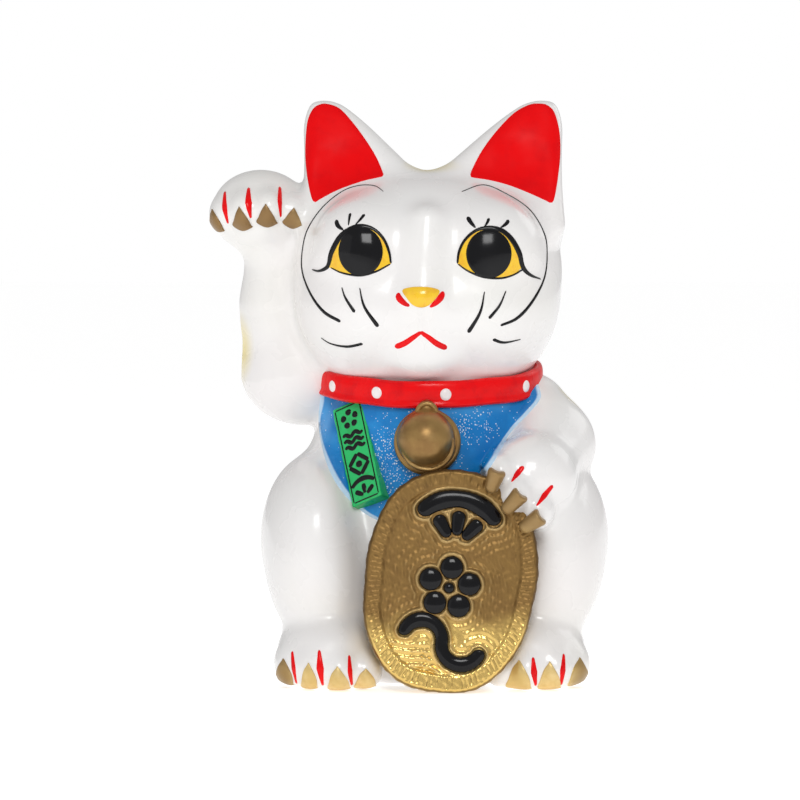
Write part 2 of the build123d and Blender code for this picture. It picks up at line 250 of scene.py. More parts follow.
def bank(p):
    """The whole glazed form, with the coin slot, the foot recess, the plug hole and the hollow torso."""
    f = outer_form(p)
    x, y, z = p[:, 0], p[:, 1], p[:, 2]
    y_foot = y - FOOT_MIDDLE_Y
    wide, deep = RECESS_RADII
    recess = np.maximum(np.sqrt((x / wide) ** 2 + (y_foot / deep) ** 2) * wide - wide, z - RECESS_TOP)
    hole = np.sqrt(x**2 + y_foot**2) - HOLE_RADIUS
    opening = np.minimum(recess, np.maximum(hole, z - HOLE_TOP))
    f = np.where(z < HOLE_TOP + 1, smax(f, -opening, 0.8), f)
    hollow = smax(smax(torso(p) + WALL, FLOOR_TOP - z, 2), z - HOLLOW_TOP, 6)
    round_end = SLOT_WIDTH / 2
    past_straight = np.maximum(np.abs(x) - (SLOT_LENGTH / 2 - round_end), 0)
    slot = np.maximum(np.hypot(past_straight, z - SLOT_Z) - round_end, -y)
    return smax(smax(f, -hollow, 0.8), -slot, 1.0)


def gradient(field, p, e=0.06):
    g = np.empty_like(p)
    for i in range(3):
        d = np.zeros(3)
        d[i] = e
        g[:, i] = (field(p + d) - field(p - d)) / (2 * e)
    return g


def evaluate(field, p, chunk=400000):
    return np.concatenate([field(p[i:i + chunk]) for i in range(0, len(p), chunk)])


BLOCKS_AT_ONCE = 600  # keeps the memory of one sampling small


def surface_nets(field, low, high, step, block=8, settle=3):
    """A quad mesh of the field's zero surface. Only blocks near the surface are sampled finely."""
    low, high = np.array(low, float), np.array(high, float)
    cells = np.ceil((high - low) / step / block).astype(int) * block
    count = cells + 1
    blocks = cells // block
    ijk = np.stack(np.meshgrid(*[np.arange(n) for n in blocks], indexing="ij"), -1).reshape(-1, 3)
    middle = low + (ijk + 0.5) * block * step
    coarse = evaluate(field, middle)
    half_diagonal = 0.87 * block * step
    near = np.abs(coarse) < half_diagonal * 1.5
    grid = np.repeat(np.repeat(np.repeat(coarse.reshape(blocks), block, 0), block, 1), block, 2)
    grid = np.pad(grid, ((0, 1),) * 3, mode="edge").astype(np.float32)
    offsets = np.stack(np.meshgrid(*[np.arange(block + 1)] * 3, indexing="ij"), -1).reshape(-1, 3)
    for start in range(0, int(near.sum()), BLOCKS_AT_ONCE):
        part = ijk[near][start:start + BLOCKS_AT_ONCE]
        idx = (part[:, None, :] * block + offsets[None]).reshape(-1, 3)
        values = field(low + idx * step)
        grid[idx[:, 0], idx[:, 1], idx[:, 2]] = values
    inside = grid < 0
    corners = np.array([(a, b, c) for a in (0, 1) for b in (0, 1) for c in (0, 1)])
    total = sum(inside[a:a + cells[0], b:b + cells[1], c:c + cells[2]].astype(np.int8) for a, b, c in corners)
    active = np.argwhere((total > 0) & (total < 8))
    number = np.full(tuple(cells), -1, np.int64)
    number[active[:, 0], active[:, 1], active[:, 2]] = np.arange(len(active))
    point = np.zeros((len(active), 3))
    hits = np.zeros(len(active))
    for axis in range(3):
        for c in corners[corners[:, axis] == 0]:
            a0 = active + c
            a1 = a0.copy()
            a1[:, axis] += 1
            v0 = grid[a0[:, 0], a0[:, 1], a0[:, 2]]
            v1 = grid[a1[:, 0], a1[:, 1], a1[:, 2]]
            cross = (v0 < 0) != (v1 < 0)
            t = np.where(cross, v0 / np.where(cross, v0 - v1, 1), 0)
            where = c + np.eye(3)[axis] * t[:, None]
            point += np.where(cross[:, None], where, 0)
            hits += cross
    point = low + (active + point / hits[:, None]) * step
    quads = []
    for axis in range(3):
        u, v = (axis + 1) % 3, (axis + 2) % 3
        a = [slice(1, cells[i]) if i != axis else slice(0, cells[i]) for i in range(3)]
        b = list(a)
        b[axis] = slice(1, cells[axis] + 1)
        s0, s1 = inside[tuple(a)], inside[tuple(b)]
        start = np.array([1 if i != axis else 0 for i in range(3)])
        for sign, ours in ((1, s0 & ~s1), (-1, ~s0 & s1)):
            e = np.argwhere(ours) + start
            du, dv = np.eye(3, dtype=int)[u], np.eye(3, dtype=int)[v]
            ring = [e - du - dv, e - dv, e, e - du]
            q = np.stack([number[r[:, 0], r[:, 1], r[:, 2]] for r in ring], 1)
            quads.append(q if sign > 0 else q[:, ::-1])
    quads = np.concatenate(quads)

    def slope(p):
        return gradient(field, p)

    for _ in range(settle):
        g = evaluate(slope, point)
        value = evaluate(field, point)
        g2 = np.maximum(np.einsum("ij,ij->i", g, g), 0.05)
        move = -(value / g2)[:, None] * g
        size = length(move)
        move *= np.minimum(1, 0.6 * step / np.maximum(size, 1e-9))[:, None]
        point = point + move
    normal = evaluate(slope, point)
    normal /= np.maximum(length(normal), 1e-9)[:, None]
    return point, quads, normal


# ------------------------------------------------------------------ meshes
def make_object(name, points, faces, normals=None):
    """A smooth mesh object from millimetre points; normals are kept as custom ones."""
    mesh = bpy.data.meshes.new(name)
    points = np.asarray(points, float) * MM
    mesh.from_pydata([tuple(v) for v in points], [], [tuple(map(int, f)) for f in faces])
    mesh.validate()
    mesh.shade_smooth()
    if normals is not None and len(normals) == len(mesh.vertices):
        mesh.normals_split_custom_set_from_vertices([tuple(n) for n in normals])
    mesh.update()
    obj = bpy.data.objects.new(name, mesh)
    bpy.context.scene.collection.objects.link(obj)
    return obj


def grid_faces(rows, cols, loop_cols=False, loop_rows=False):
    faces = []
    for i in range(rows if loop_rows else rows - 1):
        for j in range(cols if loop_cols else cols - 1):
            a, b = i * cols + j, i * cols + (j + 1) % cols
            c, d = ((i + 1) % rows) * cols + (j + 1) % cols, ((i + 1) % rows) * cols + j
            faces.append((a, b, c, d))
    return faces


def fan(ring, middle):
    """Triangles from a closed ring of vertex numbers to one middle vertex."""
    return [(a, b, middle) for a, b in zip(ring, np.roll(ring, -1))]


def join_up(forms):
    """Several (points, faces) forms as one."""
    points, faces, start = [], [], 0
    for p, f in forms:
        points.append(np.asarray(p, float))
        faces += [tuple(int(i) + start for i in face) for face in f]
        start += len(p)
    return np.concatenate(points), faces


# ------------------------------------------------------------------ curves and painted marks
def spline(points, count, closed=False):
    """A smooth curve through the points, at evenly spaced places."""
    p = np.array(points, float)
    spans = len(p) if closed else len(p) - 1
    p = np.vstack([p[-1:], p, p[:2]]) if closed else np.vstack([2 * p[0] - p[1], p, 2 * p[-1] - p[-2]])
    t = np.linspace(0, spans, spans * 24 + 1)
    i = np.minimum(t.astype(int), spans - 1)
    u = (t - i)[:, None]
    a, b, c, d = (p[i + k] for k in range(4))
    fine = 0.5 * (2 * b + (c - a) * u + (2 * a - 5 * b + 4 * c - d) * u**2 + (3 * b - a - 3 * c + d) * u**3)
    run = np.concatenate([[0], np.cumsum(length(np.diff(fine, axis=0)))])
    want = np.linspace(0, run[-1], count + 1 if closed else count)[:count]
    return np.stack([np.interp(want, run, fine[:, k]) for k in range(p.shape[1])], 1)


def run_length(points):
    return float(length(np.diff(np.array(points, float), axis=0)).sum())


def settle_on(p, rounds=4):
    """Moves points onto the glaze along its form's gradient; returns them and the normals."""
    for _ in range(rounds):
        g = gradient(outer_form, p)
        g2 = np.maximum(np.einsum("ij,ij->i", g, g), 0.05)
        p = p - (outer_form(p) / g2)[:, None] * g
    g = gradient(outer_form, p)
    return p, g / np.maximum(length(g), 1e-9)[:, None]


IN_FRONT, LAST_Y = -85.0, 14.0  # where traced lines start, and how far back they may reach
SINK = 0.1  # how far the edge of a painted mark is pressed into the glaze


def trace(xz, far=LAST_Y):
    """Where lines along +Y, at these X and Z, first meet the glaze, and the normals there."""
    p = np.column_stack([xz[:, 0], np.full(len(xz), IN_FRONT), xz[:, 1]])
    for _ in range(70):
        p[:, 1] = np.minimum(p[:, 1] + np.clip(0.8 * outer_form(p), -1.5, 9), far)
    return settle_on(p)


def stroke(points, widths, height=0.28, across=7):
    """A brush stroke through (x, z) points, laid on the front. widths are given at even places."""
    rows = max(8, int(run_length(points) / 0.6))
    centre, normal = trace(spline(points, rows))
    along = np.gradient(centre, axis=0)
    along /= np.maximum(length(along), 1e-9)[:, None]
    side = np.cross(along, normal)
    side /= np.maximum(length(side), 1e-9)[:, None]
    share = np.linspace(0, 1, rows)
    half = np.interp(share, np.linspace(0, 1, len(widths)), widths) / 2
    ends = np.minimum(share, share[::-1]) * run_length(points)
    half *= np.sqrt(np.clip(ends / np.maximum(half, 0.3), 0.02, 1))
    u = np.sin(np.linspace(-math.pi / 2, math.pi / 2, across))
    grid = (centre[:, None] + side[:, None] * (half[:, None] * u)[:, :, None]).reshape(-1, 3)
    grid, normal = settle_on(grid)
    swell = np.sqrt(np.clip(1 - u**2, 0, 1))[None] * np.clip(ends / 0.5, 0, 1)[:, None]
    lift = (height + SINK) * swell - SINK
    return grid + normal * lift.reshape(-1, 1), grid_faces(rows, across)


def ring_shares(rings):
    """How far out each ring of a patch lies, from its edge inwards."""
    return np.concatenate([[1, 0.985, 0.95], np.linspace(0.88, 0.08, rings)])


def patch(outline, height=0.28, dome=0.0, rings=7, count=72, middle=None, far=LAST_Y):
    """A filled painted shape inside a closed outline of (x, z) points, laid on the front."""
    ring = spline(outline, count, closed=True)
    middle = ring.mean(0) if middle is None else vec(*middle)
    shares = ring_shares(rings)
    lifts = np.concatenate([[-SINK, 0.7 * height, height], np.full(rings, height)]) + dome * (1 - shares**2)
    flat = np.concatenate([middle + (ring - middle) * s for s in shares] + [middle[None]])
    points, normal = trace(flat, far)
    lift = np.append(np.repeat(lifts, count), height + dome)
    faces = grid_faces(len(shares), count, loop_cols=True)
    last = (len(shares) - 1) * count
    faces = [f[::-1] for f in faces] + [f[::-1] for f in fan(np.arange(last, last + count), len(flat) - 1)]
    return points + normal * lift[:, None], faces


def outward(obj):
    """Turns the faces of a form outwards, as far as its shape tells."""
    bm = bmesh.new()
    bm.from_mesh(obj.data)
    bmesh.ops.recalc_face_normals(bm, faces=bm.faces)
    bm.to_mesh(obj.data)
    bm.free()


def face_front(form):
    """Turns each face of a painted mark away from the glaze, which lies behind it."""
    points, faces = form
    out = []
    for f in faces:
        a, b, c = (points[i] for i in f[:3])
        n = np.cross(b - a, c - a)
        out.append(f if n[1] <= 0 else f[::-1])
    return points, out


# ------------------------------------------------------------------ materials
class Paint:
    """A node material round one Principled shader."""

    def __init__(self, name, colour, roughness, **sockets):
        self.material = bpy.data.materials.new(name)
        self.material.use_nodes = True
        self.tree = self.material.node_tree
        self.shader = self.tree.nodes["Principled BSDF"]
        self.colour = tuple(colour) + (1.0,)
        self.shader.inputs["Base Color"].default_value = self.colour
        self.shader.inputs["Roughness"].default_value = roughness
        for key, value in sockets.items():
            self.shader.inputs[key.replace("_", " ")].default_value = value
        self.place = self.node("ShaderNodeTexCoord").outputs["Object"]
        self.top = None

    def node(self, kind, **settings):
        made = self.tree.nodes.new(kind)
        for key, value in settings.items():
            setattr(made, key, value)
        return made

    def wire(self, source, target):
        self.tree.links.new(source, target)

    def noise(self, scale, detail=3.0, roughness=0.5):
        made = self.node("ShaderNodeTexNoise")
        made.inputs["Scale"].default_value = scale
        made.inputs["Detail"].default_value = detail
        made.inputs["Roughness"].default_value = roughness
        self.wire(self.place, made.inputs["Vector"])
        return made.outputs["Fac"]

    def between(self, source, low, high, out_low=0.0, out_high=1.0):
        made = self.node("ShaderNodeMapRange", interpolation_type="SMOOTHSTEP")
        for key, value in zip(("From Min", "From Max", "To Min", "To Max"), (low, high, out_low, out_high)):
            made.inputs[key].default_value = value
        self.wire(source, made.inputs["Value"])
        return made.outputs["Result"]

    def maths(self, operation, a, b):
        made = self.node("ShaderNodeMath", operation=operation)
        for socket, value in zip(made.inputs, (a, b)):
            if isinstance(value, (int, float)):
                socket.default_value = value
            else:
                self.wire(value, socket)
        return made.outputs[0]

    def cloud(self, centre, radii, soft=1.0):
        """One inside an ellipsoid (mm), fading to nothing at its surface."""
        move = self.node("ShaderNodeVectorMath", operation="SUBTRACT")
        move.inputs[1].default_value = [c * MM for c in centre]
        self.wire(self.place, move.inputs[0])
        divide = self.node("ShaderNodeVectorMath", operation="DIVIDE")
        divide.inputs[1].default_value = [r * MM for r in radii]
        self.wire(move.outputs[0], divide.inputs[0])
        size = self.node("ShaderNodeVectorMath", operation="LENGTH")
        self.wire(divide.outputs[0], size.inputs[0])
        return self.between(size.outputs["Value"], 1.0, 1.0 - soft)

    def tint(self, mask, colour):
        """Paints a colour over what is there, where the mask says."""
        mix = self.node("ShaderNodeMix", data_type="RGBA")
        self.wire(mask, mix.inputs["Factor"])
        if self.top is None:
            mix.inputs[6].default_value = self.colour
        else:
            self.wire(self.top, mix.inputs[6])
        mix.inputs[7].default_value = tuple(colour) + (1.0,)
        self.top = mix.outputs[2]
        self.wire(self.top, self.shader.inputs["Base Color"])

    def mottle(self, noise, low, high, share, colour):
        """Paints a colour in cloudy patches of noise, at up to the given share of its strength."""
        self.tint(self.between(self.noise(*noise), low, high, 0, share), colour)

    def rough(self, source, low, high):
        self.wire(self.between(source, 0.3, 0.7, low, high), self.shader.inputs["Roughness"])

    def bump(self, source, depth, strength=1.0):
        """Bump of the given depth in millimetres."""
        made = self.node("ShaderNodeBump")
        made.inputs["Distance"].default_value = depth * MM
        made.inputs["Strength"].default_value = strength
        self.wire(source, made.inputs["Height"])
        if self.shader.inputs["Normal"].is_linked:
            self.wire(self.shader.inputs["Normal"].links[0].from_socket, made.inputs["Normal"])
        self.wire(made.outputs["Normal"], self.shader.inputs["Normal"])

    def axes(self):
        """The place's own X, Y and Z."""
        split = self.node("ShaderNodeSeparateXYZ")
        self.wire(self.place, split.inputs[0])
        return split.outputs


def white_glaze():
    """Pearly white glaze with soft airbrushed yellow patches, and faint pink and yellow mottling as painted
    sheen.
    """
    m = Paint("white_glaze", (0.85, 0.84, 0.83), 0.26, Coat_Weight=0.35, Coat_Roughness=0.08)
    # painted sheen: faint pink and pale yellow tints in cloudy patches stand in for the pearl glaze's shimmer
    m.mottle((14, 2), 0.35, 0.75, 0.35, (0.87, 0.80, 0.79))
    m.mottle((23, 2), 0.45, 0.8, 0.3, (0.86, 0.85, 0.76))
    yellow, ochre = (0.86, 0.66, 0.05), (0.30, 0.17, 0.03)
    patches = (((-71.5, 2, 119), (9, 26, 17), 0.9), ((53, -2, 101), (12, 20, 9), 0.8),
               ((65, 4, 54), (9, 26, 16), 0.9), ((0, 4, 184), (24, 26, 6), 0.6),
               ((20, 48, 78), (26, 16, 20), 1.0), ((-34, 42, 40), (22, 18, 18), 1.0),
               ((28, 34, 160), (20, 18, 20), 1.0), ((-10, 60, 30), (10, 12, 12), 0.8))
    for centre, radii, softness in patches:
        m.tint(m.cloud(centre, radii, softness), yellow)
    for centre, radii in (((66.0, 6, 50), (5, 14, 8)), ((57, 0, 97), (5, 9, 4)), ((24, 50, 74), (13, 10, 9)),
                          ((-38, 46, 36), (11, 10, 9)), ((32, 38, 156), (10, 10, 10))):
        m.tint(m.maths("MULTIPLY", m.cloud(centre, radii, 0.9), 0.75), ochre)
    m.rough(m.noise(60, 3), 0.20, 0.34)
    m.bump(m.noise(38, 2), 0.35, 0.35)
    m.bump(m.noise(420, 2), 0.02, 0.5)
    return m.material


def enamel(name, colour, dark, roughness=0.22, coat=0.5, grain=160, shine=0.35):
    """Brushed enamel paint: a little uneven in colour, gloss and thickness."""
    m = Paint(name, colour, roughness, Coat_Weight=coat, Coat_Roughness=0.06, Specular_IOR_Level=shine)
    m.mottle((grain, 4, 0.6), 0.42, 0.78, 0.8, dark)
    m.rough(m.noise(grain * 0.6, 3), roughness * 0.7, roughness * 1.5)
    m.bump(m.noise(grain * 2.2, 3), 0.03, 0.6)
    return m.material


def black_enamel():
    return enamel("black_enamel", (0.003, 0.003, 0.004), (0.005, 0.005, 0.007), 0.11, 0.0, shine=0.28)


def red_enamel():
    return enamel("red_enamel", (0.82, 0.002, 0.004), (0.58, 0.001, 0.006), 0.22, 0.05, shine=0.16)


def ear_enamel():
    return enamel("ear_enamel", (0.82, 0.002, 0.004), (0.70, 0.002, 0.005), 0.5, 0.0, 120, shine=0.08)


def yellow_enamel():
    return enamel("yellow_enamel", (0.90, 0.56, 0.02), (0.80, 0.38, 0.02), 0.25, 0.4, 260)


def green_enamel():
    return enamel("green_enamel", (0.012, 0.50, 0.13), (0.008, 0.36, 0.08), 0.32, 0.25, 220)


def white_enamel():
    return enamel("white_enamel", (0.86, 0.80, 0.79), (0.74, 0.68, 0.68), 0.3, 0.3, 300)


def blue_enamel():
    """Blue enamel with silver glitter, denser round the bell, a pale band along its edge, and pale cloudy
    patches of painted highlight.
    """
    m = Paint("blue_enamel", (0.004, 0.190, 0.54), 0.24, Coat_Weight=0.10, Coat_Roughness=0.06,
              Specular_IOR_Level=0.28)
    m.mottle((90, 4, 0.6), 0.4, 0.8, 0.8, (0.02, 0.30, 0.72))
    # painted highlight: pale cloudy patches lighten the blue where soft reflections of the lamps would be
    m.mottle((32, 2), 0.58, 0.72, 0.45, (0.10, 0.42, 0.82))
    edge = m.node("ShaderNodeAttribute", attribute_name="edge")
    m.tint(m.between(edge.outputs["Fac"], 0.955, 0.975, 0, 0.9), (0.55, 0.74, 0.90))
    by_bell = m.cloud((-12, -44, 82), (26, 22, 20), 0.8)
    by_shoulder = m.cloud((14, -42, 92), (18, 20, 10), 0.9)
    dense = m.maths("MAXIMUM", by_bell, by_shoulder)
    for scale, size in ((900, 0.30), (1500, 0.33)):
        cells = m.node("ShaderNodeTexVoronoi")
        cells.inputs["Scale"].default_value = scale
        m.wire(m.place, cells.inputs["Vector"])
        speck = m.between(cells.outputs["Distance"], size, size * 0.6)
        pick = m.node("ShaderNodeSeparateColor")
        m.wire(cells.outputs["Color"], pick.inputs["Color"])
        limit = m.maths("MULTIPLY", dense, 0.60)
        chosen = m.maths("LESS_THAN", pick.outputs["Red"], m.maths("ADD", limit, 0.03))
        m.tint(m.maths("MULTIPLY", m.maths("MULTIPLY", speck, chosen), 0.85), (0.80, 0.86, 0.88))
    m.rough(m.noise(120, 3), 0.14, 0.30)
    m.bump(m.noise(300, 3), 0.05, 0.7)
    return m.material


def bronze_paint():
    """Bronze paint on the coin, bright gold towards its foot, with painted shade in its low places and
    painted highlight on its high places.
    """
    m = Paint("bronze_paint", (0.25, 0.145, 0.044), 0.34, Metallic=0.8)
    m.mottle((240, 4, 0.6), 0.4, 0.75, 0.7, (0.20, 0.112, 0.036))
    gold = m.between(m.maths("ADD", m.axes()["Z"], m.maths("MULTIPLY", m.noise(70, 3), 0.02)), 0.040, 0.026)
    m.tint(gold, (0.80, 0.55, 0.17))
    relief = m.node("ShaderNodeAttribute", attribute_name="relief")
    # painted shade: the low places of the relief, and the coin's sides, are darkened where shade would gather
    m.tint(m.between(relief.outputs["Fac"], 0.34, 0.08, 0, 0.8), (0.10, 0.055, 0.018))
    # painted highlight: the high places of the relief are lightened as if they caught the light
    m.tint(m.between(relief.outputs["Fac"], 0.50, 0.68, 0, 0.55), (0.60, 0.42, 0.18))
    m.wire(m.maths("SUBTRACT", 0.42, m.maths("MULTIPLY", gold, 0.2)), m.shader.inputs["Roughness"])
    m.bump(m.noise(260, 4, 0.65), 0.10, 0.6)
    return m.material


def gold_paint():
    m = Paint("gold_paint", (0.36, 0.22, 0.075), 0.36, Metallic=0.75)
    m.mottle((110, 4, 0.6), 0.4, 0.72, 0.8, (0.24, 0.13, 0.045))
    m.mottle((60, 2), 0.5, 0.8, 0.7, (0.52, 0.36, 0.15))
    m.rough(m.noise(150, 3), 0.30, 0.46)
    m.bump(m.noise(240, 3), 0.08, 0.6)
    return m.material


def claw_gold():
    """Matt gold paint on the claws, darker on the outer toes."""
    m = Paint("claw_gold", (0.66, 0.47, 0.17), 0.40, Metallic=0.5)
    m.mottle((130, 4, 0.6), 0.4, 0.7, 0.75, (0.80, 0.62, 0.30))
    outer = m.between(m.maths("ABSOLUTE", m.axes()["X"], 0.0), 0.046, 0.053)
    m.tint(m.maths("MULTIPLY", outer, 0.8), (0.24, 0.14, 0.05))
    high = m.between(m.axes()["Z"], 0.05, 0.06)
    m.tint(m.maths("MULTIPLY", high, 0.85), (0.26, 0.15, 0.055))
    m.rough(m.noise(200, 3), 0.34, 0.5)
    m.bump(m.noise(320, 3), 0.06, 0.6)
    return m.material


def plug_rubber():
    m = Paint("plug_rubber", (0.70, 0.70, 0.68), 0.55, Specular_IOR_Level=0.35)
    m.mottle((90, 4), 0.4, 0.8, 0.7, (0.58, 0.57, 0.54))
    m.rough(m.noise(300, 3), 0.48, 0.66)
    m.bump(m.noise(900, 3), 0.05, 0.6)
    return m.material


MATERIALS = {f.__name__: f() for f in (white_glaze, black_enamel, red_enamel, ear_enamel, yellow_enamel,
                                       green_enamel, white_enamel, blue_enamel, bronze_paint, gold_paint,
                                       claw_gold, plug_rubber)}


def piece(name, form, material, *replaced, normals=None):
    """Makes a piece of the cat, gives it its material, and lets it ride."""
    obj = make_object(name, *form, normals)
    obj.data.materials.append(MATERIALS[material])
    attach(obj, "cat")
    if replaced:
        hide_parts(*replaced)
    return obj


# ------------------------------------------------------------------ the glazed body
def split_by_part(points, quads):
    """The number of the part that each quad belongs to. Inner faces belong to the body."""
    middle = points[quads].mean(1)
    fields = np.stack([g(widened(middle)) for g in PARTS], 1)
    part = fields.argmin(1)
    inside = evaluate(outer_form, middle) < -0.6
    part[inside] = 0
    return part


def capped(points, quads, normals):
    """One part's faces with its own vertices, and a fan over each open edge loop."""
    used, index = np.unique(quads, return_inverse=True)
    quads = index.reshape(quads.shape)
    points, normals = points[used], normals[used]
    a = quads.ravel()
    b = np.roll(quads, -1, axis=1).ravel()
    keys = set(zip(a.tolist(), b.tolist()))
    follow = {}
    for i, j in keys:
        if (j, i) not in keys:
            follow.setdefault(j, []).append(i)
    caps, extra = [], []
    while follow:
        start = next(iter(follow))
        loop = [start]
        while True:
            nexts = follow.get(loop[-1])
            if not nexts:
                break
            step = nexts.pop()
            if not nexts:
                del follow[loop[-1]]
            if step == start:
                break
            loop.append(step)
        if len(loop) > 2:
            middle = len(points) + len(extra)
            extra.append(loop)
            caps += [(i, j, middle) for i, j in zip(loop, loop[1:] + loop[:1])]
    if extra:
        points = np.vstack([points] + [points[loop].mean(0)[None] for loop in extra])
        normals = np.vstack([normals] + [normals[loop].mean(0)[None] for loop in extra])
    return points, quads.tolist() + caps, normals


GLAZE_BOX = ((-84, -66, -2), (70, 70, 214))
QUICK_STEP, FINE_STEP = 1.7, 1.0


def glazed_parts():
    step = FINE_STEP
    points, quads, normals = surface_nets(bank, *GLAZE_BOX, step)
    part = split_by_part(points, quads)
    names = (("body_glaze", "body_shell"), ("head_glaze", "head_shell"), ("raised_arm_glaze", "raised_arm"),
             ("resting_arm_glaze", "resting_arm"), ("tail_glaze", "tail"))
    for number, (name, node) in enumerate(names):
        own_points, faces, own_normals = capped(points, quads[part == number], normals)
        piece(name, (own_points, faces), "white_glaze", node, normals=own_normals)


glazed_parts()


# ------------------------------------------------------------------ the face
def ellipse(middle, radii, count=16):
    angles = np.linspace(0, 2 * math.pi, count, endpoint=False)
    return [(middle[0] + radii[0] * math.cos(a), middle[1] + radii[1] * math.sin(a)) for a in angles]


RIGHT_LID = ((-43.6, 148.3), (-40.8, 147.8), (-37.6, 149.6), (-36.2, 154.5), (-33.2, 159.9), (-29.3, 162.9),
             (-25.4, 163.8), (-21.2, 162.6), (-17.8, 159.2), (-15.9, 154.7), (-15.2, 150.4))
RIGHT_LOWER_LID = ((-36.8, 149.2), (-32.2, 147.2), (-26.1, 146.4), (-20.5, 147.8), (-15.2, 150.6))
LEFT_LID = ((38.4, 144.7), (34.0, 146.6), (31.4, 149.6), (30.2, 154.2), (27.6, 158.9), (24.1, 162.1),
            (19.6, 163.2), (14.9, 162.2), (11.0, 158.9), (8.9, 154.7), (8.3, 150.4))
LEFT_LOWER_LID = ((8.3, 150.6), (12.0, 148.0), (17.3, 145.9), (23.4, 145.4), (28.0, 146.5), (31.8, 148.6))

PUPILS = (((-25.9, 154.8), (7.9, 8.7)), ((19.4, 154.0), (8.1, 8.7)))
pupils = [patch(ellipse(middle, radii), 0.34, 0.5) for middle, radii in PUPILS]
irises = [patch(RIGHT_LID[2:] + RIGHT_LOWER_LID[::-1][1:-1], 0.16),
          patch(LEFT_LID[2:] + LEFT_LOWER_LID[1:-1], 0.16)]
piece("eye_pupils", join_up([face_front(f) for f in pupils]), "black_enamel")
piece("eye_irises", join_up([face_front(f) for f in irises]), "yellow_enamel")

LID_WIDTHS = (0.4, 1.3, 2.3, 2.5, 2.4, 2.1, 1.8, 1.4, 1.2, 1.1, 0.8)
LOWER_WIDTHS = (0.5, 0.8, 0.9, 0.8, 0.6)
lines = [stroke(RIGHT_LID, LID_WIDTHS, 0.4), stroke(LEFT_LID, LID_WIDTHS, 0.4),
         stroke(RIGHT_LOWER_LID, LOWER_WIDTHS, 0.36), stroke(LEFT_LOWER_LID, LOWER_WIDTHS, 0.36)]
FACE_LINES = (
    # lashes
    (((-34.8, 166.2), (-34.0, 163.9), (-31.8, 162.2)), (1.9, 1.7, 0.6)),
    (((-29.6, 168.6), (-30.0, 166.2), (-30.3, 163.8)), (1.3, 0.9, 0.4)),
    (((-24.4, 168.2), (-26.0, 166.2), (-28.2, 163.8)), (1.3, 1.0, 0.3)),
    (((11.8, 167.3), (13.0, 165.2), (14.9, 163.0)), (1.8, 1.6, 0.6)),
    (((19.6, 166.8), (18.8, 164.9), (17.6, 163.2)), (1.3, 1.0, 0.4)),
    (((26.6, 166.2), (25.6, 164.6), (23.2, 163.0)), (1.6, 1.3, 0.4)),
    # the long arcs round the face
    (((-17.7, 175.8), (-21.2, 178.0), (-27.2, 178.0), (-33.4, 175.6), (-40.3, 169.7), (-45.3, 161.9),
      (-47.2, 153.2), (-46.8, 146.5), (-43.7, 139.2), (-39.0, 133.3), (-32.9, 129.9)),
     (0.2, 0.3, 0.35, 0.4, 0.5, 0.6, 0.7, 0.9, 1.1, 1.4, 1.3)),
    (((9.7, 175.8), (17.7, 178.3), (25.2, 175.6), (34.2, 169.7), (39.5, 161.2), (40.6, 153.3), (39.4, 144.8),
      (34.9, 136.8), (29.5, 131.2), (23.4, 128.6)), (0.2, 0.3, 0.4, 0.5, 0.6, 0.7, 1.0, 1.2, 1.4, 1.0)),
    # whiskers
    (((-32.7, 142.4), (-31.3, 138.4), (-27.9, 133.2)), (0.4, 1.0, 1.4)),
    (((-26.3, 142.2), (-24.6, 135.4), (-19.6, 128.1)), (0.4, 1.1, 1.7)),
    (((-40.4, 124.1), (-36.6, 121.9), (-30.8, 121.0), (-25.0, 122.2)), (0.2, 0.8, 1.2, 1.2)),
    (((17.9, 140.9), (16.3, 133.4), (12.0, 126.0)), (0.4, 1.1, 1.7)),
    (((25.6, 141.2), (23.2, 135.8), (19.3, 131.0)), (0.4, 1.0, 1.3)),
    (((20.7, 123.8), (24.9, 122.5), (31.2, 123.6)), (1.4, 1.0, 0.3)),
)
lines += [stroke(points, widths) for points, widths in FACE_LINES]
piece("face_lines", join_up([face_front(f) for f in lines]), "black_enamel")

NOSE = ((-11.2, 141.2), (-8.2, 142.3), (-4.6, 142.5), (-0.8, 142.2), (2.0, 141.0), (0.6, 138.4),
        (-1.8, 136.0), (-4.6, 135.2), (-7.4, 136.0), (-9.6, 138.4))
piece("nose_paint", face_front(patch(NOSE, 0.25, 0.3)), "yellow_enamel")
RED_FACE = (
    (((-12.6, 140.6), (-12.4, 138.6), (-10.6, 136.8), (-8.4, 135.6)), (1.8, 2.7, 2.2, 0.9)),
    (((3.4, 141.0), (2.6, 139.0), (0.8, 137.0), (-1.6, 135.2)), (1.8, 2.8, 2.3, 0.9)),
    (((-4.3, 126.6), (-7.2, 124.6), (-10.4, 122.4), (-14.0, 120.9)), (1.3, 2.0, 2.3, 2.2)),
    (((-5.0, 126.6), (-2.0, 124.6), (1.2, 122.2), (4.8, 120.5)), (1.3, 2.0, 2.3, 2.2)),
)
piece("nose_and_mouth_red", join_up([face_front(stroke(p, w)) for p, w in RED_FACE]), "red_enamel")

